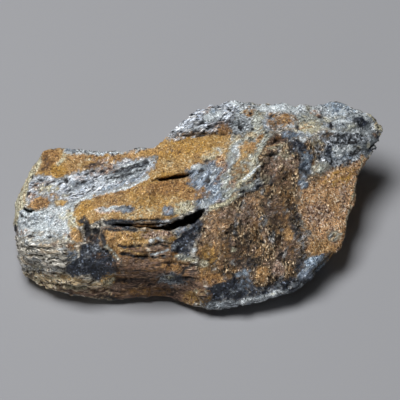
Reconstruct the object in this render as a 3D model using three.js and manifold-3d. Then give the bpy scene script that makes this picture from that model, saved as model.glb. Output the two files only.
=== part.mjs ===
// Rough pietersite: one broken, banded lump of fibrous quartz that lies on its flattest side.
// Millimetres. +X runs along the stone, +Y away from its low front, +Z up.
// The origin is under the middle of the stone's box, on the surface that it rests on.

import * as THREE from "three";
import * as BufferGeometryUtils from "three/addons/utils/BufferGeometryUtils.js";
import { ImprovedNoise } from "three/addons/math/ImprovedNoise.js";
import Module from "manifold-3d";

const wasm = await Module();
wasm.setup();

// How finely the skin is divided: along the stone, across it and down its sides.
const STEPS_ALONG = 55;
const STEPS_ACROSS = 31;
const STEPS_DOWN = 7;

// The shoulder is the rim where the top breaks off into the sides, as plan points [x, y].
const SHOULDER = {
  near: [
    [-73.4, -45.5], [-60, -49.5], [-49, -52], [-38, -55], [-27.5, -56.5], [-14.5, -56], [-6, -56],
    [2.5, -58], [17.5, -59.5], [33, -58.5], [45.5, -52.5], [53, -43.4], [61, -36.5],
  ],
  right: [
    [61, -36.5], [63, -28], [64.6, -19.5], [67.4, -10.5], [70.5, 0], [77.4, 7.4], [82, 15.6], [78, 20],
  ],
  far: [
    [-64.3, 0.8], [-56, -1], [-47, -2.6], [-39, -3.6], [-28, -3.4], [-18.5, -2.2], [-13.5, 2], [-3.9, 9.6],
    [-0.7, 14.4], [5.5, 18.8], [16, 25.4], [20, 22.8], [35, 24.4], [52, 26.2], [60.5, 28.2], [67, 29.8],
    [74.6, 23.2], [78, 20],
  ],
  left: [
    [-73.4, -45.5], [-74.4, -38.5], [-75, -28], [-73.6, -17.5], [-69.4, -7.5], [-67.4, -1], [-64.3, 0.8],
  ],
};

// The foot is the lower edge of the sides, tucked in under the right end and the back.
const FOOT = {
  near: [
    [-74.4, -42.8], [-66, -49], [-56, -53.5], [-41.5, -56], [-25.5, -55.5], [-14.5, -55], [-5, -59],
    [5.5, -61], [19.5, -61], [33, -57.6], [43.5, -49.8], [50.4, -40.6], [54, -32],
  ],
  right: [[54, -32], [57, -20], [60, -8], [64, 4], [68, 14], [64, 18]],
  far: [
    [-60, -5], [-45, -8], [-28, -8], [-14, -3], [-4, 6], [6, 14], [18, 18], [35, 19], [52, 20], [64, 18],
  ],
  left: [[-74.4, -42.8], [-74.8, -30], [-74, -20], [-69, -10], [-60, -5]],
};

// The broken faces of the top. Each is a plane: its height over the origin and its rise along X and Y.
const FACE = {
  slab: { height: 44.4, alongX: 0.07, alongY: 0.149 },
  rise: { height: 43, alongX: 0.217, alongY: 0.105 },
  leftEnd: { height: 45.1, alongX: 0.153, alongY: 0.11 },
  back: { height: 47.4, alongX: -0.119, alongY: -0.192 },
  velvet: { height: 66.9, alongX: -0.195, alongY: 0.833 },
  orange: { height: 71.2, alongX: -0.623, alongY: 0.468 },
  terrace: { height: 56.3, alongX: 0, alongY: 0.53 },
};

// The line where the slab ends in a lip above the terrace, and how sharp that step is.
const LIP = [
  [-60, -46], [-50, -42.5], [-43, -38.5], [-34, -40.5], [-23, -42.5], [-12, -42.5], [-4, -40], [3, -35.5],
  [8, -33],
];
const LIP_SOFTNESS = 0.8;

// The raised edge of the slab on the pale ground beside it, and the crest that runs up from the lip.
const SLAB_EDGE = {
  line: [[-54, -36], [-51, -30], [-46.5, -26], [-38, -24.5], [-29.5, -23.5], [-21, -19.5]],
  from: -54, to: -19, height: 1.3, below: -1.5, above: 0.5,
};
const CREST = {
  line: [[7, -33], [16, -29.5], [19, -24.5], [26, -17.5], [33, -6]],
  from: 6, to: 33, height: 1.2, width: 3.2,
};

// Lumps and hollows of the top: place, half length, half width, turn in degrees, and height.
const SWELLS = [
  { name: "orange nodule", x: -68.7, y: -25.5, length: 5.4, width: 3.6, turn: 8, height: 2.6 },
  { name: "corner boss", x: -62, y: -5, length: 7, width: 5, turn: 20, height: 1.6 },
  { name: "dark pit", x: -46, y: -42.5, length: 4.2, width: 4.6, turn: 60, height: -6 },
  { name: "navy scoop", x: -46, y: -55, length: 12, width: 6, turn: 0, height: -3 },
  { name: "navy wedge", x: -7, y: -46.5, length: 5, width: 3.4, turn: 60, height: -2.2 },
  { name: "corner under the cream spot", x: -6, y: -55, length: 6, width: 3, turn: 10, height: -3.2 },
  { name: "blue hollow", x: 0, y: -22, length: 11, width: 5, turn: 12, height: -1.3 },
  { name: "band hollow", x: -45, y: -14, length: 15, width: 5, turn: 4, height: -1.4 },
  { name: "upper pocket", x: 33.5, y: -1.5, length: 4, width: 2.4, turn: 0, height: -2.4 },
  { name: "lower pocket", x: 31, y: -11, length: 4, width: 1.8, turn: 6, height: -2.4 },
  { name: "back bump", x: 40, y: 16, length: 9, width: 5, turn: 0, height: 1.2 },
  { name: "granular bump", x: 60, y: 6, length: 8, width: 5, turn: 20, height: 1.5 },
  { name: "smooth grey face", x: 72, y: 15, length: 4, width: 6, turn: -30, height: -1.2 },
  { name: "end knob", x: 78, y: 15, length: 4, width: 4.5, turn: 0, height: 2 },
  { name: "crease below the knob", x: 74.5, y: 7, length: 3.4, width: 1.6, turn: 35, height: -2.6 },
  { name: "aqua fragment", x: 47, y: -50.5, length: 6, width: 3.4, turn: 45, height: 2.2 },
  { name: "velvet hollow", x: 22, y: -42, length: 9, width: 10, turn: 0, height: -1.8 },
  { name: "velvet swell", x: 8, y: -48, length: 8, width: 7, turn: 0, height: 1.6 },
];

// Splinters that lie like shingles at the top of the back edge.
const SPLINTER_FIELD = { x: 3, y: 10.5, length: 21, width: 8.5, turn: 33 };
const SPLINTER = { pitch: 4.2, height: 1.8, turn: 30 };

// Cuts that go in from the front, tilted down as a chisel would. Outlines are in millimetres on a
// sheet that stands square to the cut: along the stone, and up the sheet from the plan's zero point.
// Each starts nearEnd in front of that point, measured along the cut, and goes in by its depth.
const CUT_TILT = 50;
const CUTS = [
  {
    name: "crevice under the lip",
    outline: [
      [-42.5, -7.4], [-34.8, -7.9], [-25.3, -8.3], [-17.6, -8.1], [-11.6, -7.6], [-6.4, -5.8], [-1.3, -3.4],
      [3.2, -2.1], [2.6, -4.4], [-1.3, -7.7], [-6.4, -10.1], [-12, -11.9], [-17.6, -10.9], [-25.3, -10],
      [-34.8, -9.5],
    ],
    nearEnd: 60,
    depth: 21,
  },
  {
    name: "slot in the ochre face",
    outline: [[-21, 9.1], [-16.7, 11], [-10.3, 12.3], [-4, 13], [-2.4, 12.1], [-8.2, 10.6], [-14.6, 9.6]],
    nearEnd: 52,
    depth: 15,
  },
  {
    name: "gap under the nodule",
    outline: [[-74.6, -1.2], [-72, -2.8], [-69, -2.2], [-69.6, -4.2], [-72.5, -4.9], [-75, -3.6]],
    nearEnd: 46,
    depth: 9,
  },
  {
    name: "notch in the left end",
    outline: [[-84, -9], [-77.4, -9.6], [-76.6, -12.8], [-78.2, -14], [-84, -13]],
    nearEnd: 34,
    depth: 20,
  },
  {
    name: "arch in the lower edge",
    outline: [[-18.5, -46], [-15.6, -40.6], [-12.4, -39.6], [-9.6, -40.8], [-7.6, -46]],
    nearEnd: 48,
    depth: 17,
  },
];

// Chips broken off the edges: a point on each broken plane, and the way that it faces.
const CHIPS = [
  { name: "back, lower left", at: [-45, -4, 13], faces: [-0.2, 0.8, -0.57] },
  { name: "back, lower right", at: [42, 21, 15], faces: [0.1, 0.85, -0.52] },
  { name: "back, right corner", at: [66, 20, 20], faces: [0.45, 0.82, -0.35] },
  { name: "right end, lower", at: [66, 0, 15], faces: [0.8, -0.1, -0.57] },
  { name: "right end, front", at: [60, -36, 8], faces: [0.66, -0.5, -0.56] },
  { name: "left end, lower", at: [-78.5, -22, 9], faces: [-0.78, 0.15, -0.6] },
  { name: "front, lower right", at: [36, -55, 6], faces: [0.25, -0.77, -0.59] },
];

// Sides: how far they swell, how much more at the left end, how far they draw in under the terrace,
// and the beds that show as ledges.
const WALL_SWELL = 1.4;
const LEFT_SWELL = 2.2;
const UNDERCUT = 4;
const LEFT_END = { x: [-74, -62], y: [-40, -24] };
const TERRACE_FOOT = { leftEdge: [-50, -38], rightEdge: [-8, 2], y: [-45, -30] };
const BED = { pitch: 6.2, depth: 1.5, slope: 0.06, wave: 2, waveSize: 22 };

// The underside: the foot's height over the surface, the share of the width that rises to it, and the
// hollows that leave flat ground between them.
const FOOT_LIFT = 3.6;
const FOOT_LIFT_VARIES = 1.6;
const FOOT_LIFT_SIZE = 17;
const LIFT_SHARE = 0.17;
const HOLLOW = { size: 19, height: 7, level: 0.9 };

// Flutes that run down the velvety face, and the ledges that cross the terrace.
const FLUTE = {
  pitch: 9, height: 0.9, slant: 0.25, leftEdge: [2, 14], rightEdge: [36, 48], farEdge: [-26, -12],
};
const STEP = { pitch: 5.2, height: 1.3, slope: 0.06, leftEdge: [-66, -56], rightEdge: [-4, 4] };

// Uneven surface: size of a lump and its height, from broad to fine.
const ROUGHNESS = [{ size: 15, height: 2.1 }, { size: 6.5, height: 1.6 }, { size: 3.4, height: 0.95 }];

// The middle line that the sides face away from, and how the unevenness passes from the sides, where it
// moves them out and in, to the top, where it moves it up and down: shares of the height.
const MIDDLE_LINE = { from: -58, to: 52, y: -18 };
const TO_TOP = [0.75, 1];
const FROM_FOOT = [0, 0.3];
const SIDE_LEFT_AT_TOP = 0.2;

const perlin = new ImprovedNoise();

/** Broad to fine unevenness at a place, in millimetres, positive and negative. */
function unevenness(x, y, z) {
  let sum = 0;
  for (const { size, height } of ROUGHNESS) sum += height * perlin.noise(x / size, y / size, z / size);
  return sum;
}

const clamp = THREE.MathUtils.clamp;
const mix = THREE.MathUtils.lerp;
const smooth = THREE.MathUtils.smoothstep;

/** A smooth curve through plan points. */
function planCurve(points) {
  const corners = points.map(([x, y]) => new THREE.Vector3(x, y, 0));
  return new THREE.CatmullRomCurve3(corners, false, "centripetal");
}

/** A function that maps (u, v) in the unit square into the area between four edges. */
function patchBetween(edges) {
  const [near, right, far, left] = ["near", "right", "far", "left"].map((side) => planCurve(edges[side]));
  const [a, b, c, d] = [near.getPoint(0), near.getPoint(1), far.getPoint(0), far.getPoint(1)];
  const blend = (u, v, axis) => {
    const across = mix(near.getPointAt(u)[axis], far.getPointAt(u)[axis], v);
    const along = mix(left.getPointAt(v)[axis], right.getPointAt(v)[axis], u);
    const corners = mix(mix(a[axis], b[axis], u), mix(c[axis], d[axis], u), v);
    return across + along - corners;
  };
  return (u, v) => [blend(u, v, "x"), blend(u, v, "y")];
}

/** Height of one broken face over a plan point. */
function faceHeight({ height, alongX, alongY }, x, y) {
  return height + alongX * x + alongY * y;
}

/** The y of a line of plan points at an x, held level beyond its ends. */
function lineAt(points, x) {
  const last = points.length - 1;
  if (x <= points[0][0]) return points[0][1];
  if (x >= points[last][0]) return points[last][1];
  const next = points.findIndex(([px]) => px > x);
  const [x0, y0] = points[next - 1];
  const [x1, y1] = points[next];
  return mix(y0, y1, (x - x0) / (x1 - x0));
}

/** 1 at the middle of an oval, falling smoothly to 0 at its edge. */
function oval({ x: cx, y: cy, length, width, turn }, x, y) {
  const angle = THREE.MathUtils.degToRad(turn);
  const along = (x - cx) * Math.cos(angle) + (y - cy) * Math.sin(angle);
  const across = (y - cy) * Math.cos(angle) - (x - cx) * Math.sin(angle);
  const reach = Math.hypot(along / length, across / width) / 1.35;
  return reach >= 1 ? 0 : (1 - reach * reach) ** 2;
}

/** Shingled splinters: each one rises slowly and ends in a steep edge towards the front. */
function splinters(x, y) {
  const angle = THREE.MathUtils.degToRad(SPLINTER.turn);
  const across = (y * Math.cos(angle) - x * Math.sin(angle)) / SPLINTER.pitch;
  const share = across - Math.floor(across);
  return SPLINTER.height * oval(SPLINTER_FIELD, x, y) * (1.1 - share);
}

/** Height of the top over a plan point. */
function topHeight(x, y) {
  const upper = Math.max(faceHeight(FACE.slab, x, y), faceHeight(FACE.rise, x, y));
  const leftEnd = x < 0 ? faceHeight(FACE.leftEnd, x, y) : Infinity;
  let height = Math.min(upper, leftEnd);
  for (const name of ["back", "velvet", "orange"]) height = Math.min(height, faceHeight(FACE[name], x, y));
  const terrace = Math.min(height, faceHeight(FACE.terrace, x, y));
  const aboveLip = smooth(y - lineAt(LIP, x), -LIP_SOFTNESS, LIP_SOFTNESS);
  const steps = (y + STEP.slope * x) / STEP.pitch;
  const onTerrace = smooth(x, ...STEP.leftEdge) * (1 - smooth(x, ...STEP.rightEdge));
  height = mix(terrace + STEP.height * onTerrace * (Math.floor(steps) - steps), height, aboveLip);
  const acrossVelvet = smooth(x, ...FLUTE.leftEdge) * (1 - smooth(x, ...FLUTE.rightEdge));
  const onVelvet = acrossVelvet * (1 - smooth(y, ...FLUTE.farEdge));
  height += FLUTE.height * onVelvet * Math.sin((2 * Math.PI * (x + FLUTE.slant * y)) / FLUTE.pitch);
  const onSlab = 1 - smooth(y - lineAt(SLAB_EDGE.line, x), SLAB_EDGE.below, SLAB_EDGE.above);
  if (x > SLAB_EDGE.from && x < SLAB_EDGE.to) height += SLAB_EDGE.height * onSlab * aboveLip;
  const fromCrest = Math.abs(y - lineAt(CREST.line, x));
  if (x > CREST.from && x < CREST.to) height += CREST.height * (1 - smooth(fromCrest, 0, CREST.width));
  for (const swell of SWELLS) height += swell.height * oval(swell, x, y);
  return height + splinters(x, y);
}

/** Height of the underside where the foot's patch is at (u, v): flat at 0 but for its rim. */
function undersideHeight(u, v, x, y) {
  const inside = Math.min(u, 1 - u, v, 1 - v);
  const rise = 1 - smooth(inside, 0, LIFT_SHARE);
  const lift = FOOT_LIFT + FOOT_LIFT_VARIES * perlin.noise(x / FOOT_LIFT_SIZE, y / FOOT_LIFT_SIZE, 4.5);
  const hollow = HOLLOW.height * perlin.noise(x / HOLLOW.size, y / HOLLOW.size, 9.5) - HOLLOW.level;
  return rise * lift + Math.max(0, hollow) * (1 - rise);
}

/** The way out of the stone, in plan, from its long middle line. */
function outward(x, y) {
  const way = new THREE.Vector3(x - clamp(x, MIDDLE_LINE.from, MIDDLE_LINE.to), y - MIDDLE_LINE.y, 0);
  return way.normalize();
}

/** How far a side stands out between foot and shoulder, at share w of its height. */
function wallRelief(x, y, z, w) {
  const belly = Math.sin(Math.PI * w);
  const atLeft = (1 - smooth(x, ...LEFT_END.x)) * smooth(y, ...LEFT_END.y);
  const alongTerrace = smooth(x, ...TERRACE_FOOT.leftEdge) * (1 - smooth(x, ...TERRACE_FOOT.rightEdge));
  const underTerrace = alongTerrace * (1 - smooth(y, ...TERRACE_FOOT.y));
  const wave = BED.wave * perlin.noise(x / BED.waveSize, y / BED.waveSize, 0.5);
  const beds = (z + BED.slope * x + wave) / BED.pitch;
  const ledge = (beds - Math.floor(beds)) * BED.depth;
  const swell = WALL_SWELL + LEFT_SWELL * atLeft - UNDERCUT * underTerrace;
  return belly * swell + Math.min(1, belly * 3) * ledge;
}

/** Moves a point that stands out past a chip's plane back onto it. */
function chipped(point) {
  for (const { at, faces } of CHIPS) {
    const way = new THREE.Vector3(...faces).normalize();
    const past = way.dot(point) - way.dot(new THREE.Vector3(...at));
    if (past > 0) point.addScaledVector(way, -past);
  }
  return point;
}

/** The stone's skin: a box whose faces become the top, the underside and the sides. */
function skin() {
  const shoulder = patchBetween(SHOULDER);
  const foot = patchBetween(FOOT);
  const box = new THREE.BoxGeometry(1, 1, 1, STEPS_ALONG, STEPS_ACROSS, STEPS_DOWN);
  const place = box.getAttribute("position");
  for (let i = 0; i < place.count; i += 1) {
    const [u, v, w] = [place.getX(i) + 0.5, place.getY(i) + 0.5, place.getZ(i) + 0.5];
    const [sx, sy] = shoulder(u, v);
    const [fx, fy] = foot(u, v);
    const low = undersideHeight(u, v, fx, fy);
    const high = topHeight(sx, sy);
    const point = new THREE.Vector3(mix(fx, sx, w), mix(fy, sy, w), mix(low, high, w));
    const way = outward(point.x, point.y);
    if (w > 0 && w < 1) point.addScaledVector(way, wallRelief(point.x, point.y, point.z, w));
    chipped(point);
    const rough = unevenness(point.x, point.y, point.z);
    const up = smooth(w, ...TO_TOP);
    const side = smooth(w, ...FROM_FOOT) * mix(1, SIDE_LEFT_AT_TOP, up);
    point.addScaledVector(way, rough * side);
    place.setXYZ(i, point.x, point.y, point.z + rough * up);
  }
  return box;
}

/** A closed solid for the boolean cuts, from a geometry. */
function solidOf(geometry) {
  const bare = geometry.clone();
  bare.deleteAttribute("normal");
  bare.deleteAttribute("uv");
  const merged = BufferGeometryUtils.mergeVertices(bare, 1e-4);
  const vertProperties = new Float32Array(merged.getAttribute("position").array);
  const triVerts = new Uint32Array(merged.getIndex().array);
  return new wasm.Manifold(new wasm.Mesh({ numProp: 3, vertProperties, triVerts }));
}

/** The wedge that one cut takes away. */
function cutter({ outline, nearEnd, depth }) {
  const shape = new THREE.Shape(outline.map(([x, y]) => new THREE.Vector2(x, y)));
  const wedge = new THREE.ExtrudeGeometry(shape, { depth, bevelEnabled: false });
  wedge.translate(0, 0, nearEnd - depth);
  wedge.rotateX(THREE.MathUtils.degToRad(90 - CUT_TILT));
  return solidOf(wedge);
}

/** A three.js geometry from a boolean's result, moved so that its box stands on the origin. */
function geometryOf(solid) {
  const mesh = solid.getMesh();
  const geometry = new THREE.BufferGeometry();
  geometry.setAttribute("position", new THREE.BufferAttribute(new Float32Array(mesh.vertProperties), 3));
  geometry.setIndex(new THREE.BufferAttribute(new Uint32Array(mesh.triVerts), 1));
  geometry.computeBoundingBox();
  const { min, max } = geometry.boundingBox;
  geometry.translate(-(min.x + max.x) / 2, -(min.y + max.y) / 2, -min.z);
  geometry.computeVertexNormals();
  return geometry;
}

/** The whole stone. */
function makeStone() {
  let solid = solidOf(skin());
  for (const cut of CUTS) solid = solid.subtract(cutter(cut));
  const material = new THREE.MeshStandardMaterial({ color: 0xa07a4c, roughness: 0.8, metalness: 0 });
  const stone = new THREE.Mesh(geometryOf(solid), material);
  stone.name = "stone";
  return stone;
}

const pietersite = new THREE.Group();
pietersite.add(makeStone());

export default pietersite;
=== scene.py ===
"""Looks of one rough pietersite: a broken, banded lump of fibrous quartz on a plain pale floor.

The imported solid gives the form. A fine skin replaces it, with the beds, fibres, ledges and cracks of
each mineral raised on it, and splinters, bristles and grains stand on that skin. Where each mineral
lies is said in the picture's own pixels, as seen by the camera, and carries through the stone.
"""

import logging
import math
from dataclasses import dataclass, field
from enum import Enum
from typing import Any, Iterable

import bpy
import numpy as np
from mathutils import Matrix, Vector


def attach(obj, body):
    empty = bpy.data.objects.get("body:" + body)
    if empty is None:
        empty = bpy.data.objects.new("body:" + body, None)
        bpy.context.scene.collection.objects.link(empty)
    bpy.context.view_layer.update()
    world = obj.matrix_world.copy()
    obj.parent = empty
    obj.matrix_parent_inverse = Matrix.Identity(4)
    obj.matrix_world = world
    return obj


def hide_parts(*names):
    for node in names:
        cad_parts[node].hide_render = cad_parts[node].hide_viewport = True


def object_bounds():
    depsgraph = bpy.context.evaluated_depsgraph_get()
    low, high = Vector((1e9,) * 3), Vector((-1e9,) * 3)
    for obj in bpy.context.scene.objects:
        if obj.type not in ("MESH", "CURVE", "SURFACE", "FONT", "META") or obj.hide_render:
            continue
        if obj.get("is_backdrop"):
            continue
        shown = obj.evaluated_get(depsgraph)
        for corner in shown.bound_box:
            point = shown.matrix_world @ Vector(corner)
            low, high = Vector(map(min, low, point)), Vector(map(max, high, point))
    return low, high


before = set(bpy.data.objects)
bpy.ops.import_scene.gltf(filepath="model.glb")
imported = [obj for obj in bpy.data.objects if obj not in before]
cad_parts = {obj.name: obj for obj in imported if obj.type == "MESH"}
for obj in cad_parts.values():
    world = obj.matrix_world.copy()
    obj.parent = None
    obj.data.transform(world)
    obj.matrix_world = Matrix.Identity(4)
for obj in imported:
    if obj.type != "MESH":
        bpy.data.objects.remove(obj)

CAD_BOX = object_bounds()
MM = 0.001
PICTURE = 400
SLOT = "pietersite"
BODY = "root"
NODE = "stone"
DOWN_THE_FACE = (0.05, -0.6, -0.8)
SHORT = 1e-6
TINY = 1e-9

log = logging.getLogger(SLOT)

Point = tuple[float, float]
Place = tuple[float, float, float]
Shade = tuple[int, int, int]
Span = tuple[float, float]


def linear(shade: Shade) -> np.ndarray:
    """Turn a screen colour of 0 to 255 into linear light."""
    part = np.array(shade) / 255
    return np.where(part <= 0.04045, part / 12.92, ((part + 0.055) / 1.055) ** 2.4)


def ramp(value: np.ndarray, low: float, high: float) -> np.ndarray:
    """Rise smoothly from 0 at low to 1 at high."""
    part = np.clip((value - low) / (high - low), 0, 1)
    return part * part * (3 - 2 * part)


def add_object(name: str, data: Any) -> bpy.types.Object:
    """Make an object from a mesh, lamp or camera, and put it in the scene."""
    made = bpy.data.objects.new(name, data)
    bpy.context.scene.collection.objects.link(made)
    return made


def finished_mesh(source: bpy.types.Object) -> bpy.types.Mesh:
    """Give an object's mesh with its modifiers done, and remove the object."""
    evaluated = source.evaluated_get(bpy.context.evaluated_depsgraph_get())
    mesh = bpy.data.meshes.new_from_object(evaluated)
    bpy.data.objects.remove(source)
    return mesh


class Noise:
    """Smooth random values over space, the same on every run."""

    SIZE = 8192
    PRIMES = (73856093, 19349663, 83492791)
    STEP = 17.3
    RIDGE_STEP = 9.1
    RIDGE_PEAK = 1.4

    def __init__(self, seed: int) -> None:
        """Draw the lattice values.

        Args:
            seed: The number that fixes them.
        """
        self.values = np.random.default_rng(seed).uniform(-1, 1, self.SIZE)

    def smooth(self, points: np.ndarray) -> np.ndarray:
        """Give one value from -1 to 1 for each point, with lumps about 1 across.

        Args:
            points: Places, one row each.

        Returns:
            The values.
        """
        cell = np.floor(points).astype(np.int64)
        part = points - cell
        fade = part**3 * (part * (part * 6 - 15) + 10)
        total = np.zeros(len(points))
        for step in np.ndindex(2, 2, 2):
            corner = cell + np.array(step)
            key = np.bitwise_xor.reduce(corner * np.array(self.PRIMES), axis=1) % self.SIZE
            total += self.values[key] * np.prod(np.where(step, fade, 1 - fade), axis=1)
        return total

    def layered(self, points: np.ndarray, octaves: int = 3) -> np.ndarray:
        """Add finer and weaker noise to broad noise.

        Args:
            points: Places, one row each.
            octaves: How many layers.

        Returns:
            Values mostly from -1 to 1.
        """
        total = np.zeros(len(points))
        for octave in range(octaves):
            total += self.smooth(points * 2**octave + self.STEP * octave) / 2**octave
        return total

    def ridged(self, points: np.ndarray, octaves: int = 2) -> np.ndarray:
        """Give noise with sharp crests and round valleys, from -1 to 1."""
        total = np.zeros(len(points))
        for octave in range(octaves):
            valley = np.abs(self.smooth(points * 2**octave + self.RIDGE_STEP * octave))
            total += (1 - 2 * valley) / 2**octave
        return total / self.RIDGE_PEAK


@dataclass(frozen=True)
class PhotoView:
    """The camera's place, and where a point of the stone falls in its picture.

    Elevation is in degrees, sensor in millimetres, and distance, aim and farthest in metres.
    """

    elevation: float = 50.0
    distance: float = 2.0
    pixels_per_metre: float = 2330.0
    aim: Place = (0.00064, 0.00308, 0.020)
    sensor: float = 36.0
    farthest: float = 20.0

    @property
    def right(self) -> np.ndarray:
        """The picture's way right."""
        return np.array((1.0, 0.0, 0.0))

    @property
    def up(self) -> np.ndarray:
        """The picture's way up."""
        angle = math.radians(self.elevation)
        return np.array((0.0, math.sin(angle), math.cos(angle)))

    @property
    def towards(self) -> np.ndarray:
        """The way from the stone to the camera."""
        angle = math.radians(self.elevation)
        return np.array((0.0, -math.cos(angle), math.sin(angle)))

    def pixels(self, points: np.ndarray) -> np.ndarray:
        """Project points into the picture.

        Args:
            points: Places in metres, one row each.

        Returns:
            Pixel columns and rows, one row each.
        """
        offset = points - np.array(self.aim)
        depth = self.distance - offset @ self.towards
        focal = self.pixels_per_metre * self.distance
        across = PICTURE / 2 + focal * (offset @ self.right) / depth
        down = PICTURE / 2 - focal * (offset @ self.up) / depth
        return np.stack((across, down), axis=1)

    def place(self, across: np.ndarray, down: np.ndarray, depth: np.ndarray) -> np.ndarray:
        """Find points from their pixels and how far they stand out towards the camera.

        Args:
            across: Pixel columns.
            down: Pixel rows.
            depth: Metres from the aim, towards the camera.

        Returns:
            Places in metres, one row each.
        """
        scale = (self.distance - depth) / (self.pixels_per_metre * self.distance)
        sideways = ((across - PICTURE / 2) * scale)[:, None] * self.right
        upwards = ((PICTURE / 2 - down) * scale)[:, None] * self.up
        return np.array(self.aim) + sideways + upwards + depth[:, None] * self.towards

    def add_camera(self) -> bpy.types.Object:
        """Make the scene's camera.

        Returns:
            The camera object.
        """
        data = bpy.data.cameras.new("camera")
        data.sensor_width = self.sensor
        data.lens = self.pixels_per_metre * self.distance * self.sensor / PICTURE
        data.clip_end = self.farthest
        camera = add_object("camera", data)
        camera.location = Vector(self.aim) + Vector(self.towards * self.distance)
        camera.rotation_euler = (math.radians(90 - self.elevation), 0, 0)
        bpy.context.scene.camera = camera
        return camera


class Lay(Enum):
    """How the fibres of a mineral lie: their turn in degrees and how far they draw its pattern out."""

    FREE = (0.0, (1.0, 1.0, 1.0))
    LEVEL = (3.0, (4.5, 1.0, 0.8))
    BAND = (19.0, (2.6, 0.65, 0.65))
    SHINGLE = (28.0, (4.6, 0.8, 0.8))
    RISING = (56.0, (3.2, 0.8, 0.8))
    HANGING = (-6.0, (0.75, 1.5, 1.3))

    def frame(self) -> np.ndarray:
        """Give the fibres' own three directions, one row each."""
        turn = math.radians(self.value[0])
        ahead = (math.cos(turn), math.sin(turn), 0)
        aside = (-math.sin(turn), math.cos(turn), 0)
        return np.array((ahead, aside, (0, 0, 1)))

    def flow(self, spot: np.ndarray) -> np.ndarray:
        """Give coordinates in which the drawn-out pattern is round.

        Args:
            spot: Places in millimetres, one row each.

        Returns:
            The coordinates, one row each.
        """
        return spot @ self.frame().T / self.value[1]

    def run(self, normals: np.ndarray) -> np.ndarray:
        """Give the way along the fibres on a surface with these normals, one row each."""
        ahead = np.array(DOWN_THE_FACE) if self is Lay.HANGING else self.frame()[0]
        way = ahead - normals * (normals @ ahead)[:, None]
        return way / np.maximum(np.linalg.norm(way, axis=1), SHORT)[:, None]


LAYS = list(Lay)


@dataclass(frozen=True)
class Finish:
    """How one mineral looks and how its surface breaks.

    Shades are screen colours. Shares say how much of the surface specks and sparks take. Reliefs are
    heights in millimetres of lumps, knobs, grit, fibres, beds and pits. Mottle is how far the lightness
    wanders from place to place.
    """

    ground: Shade
    second: Shade
    speck: Shade
    spark: Shade
    specks: float = 0.3
    sparks: float = 0.12
    roughness: float = 0.8
    gloss: float = 0.0
    lay: Lay = Lay.FREE
    lumps: float = 0.25
    knobs: float = 0.15
    grit: float = 0.1
    fibres: float = 0.0
    beds: float = 0.0
    pits: float = 0.0
    mottle: float = 0.1


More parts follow.
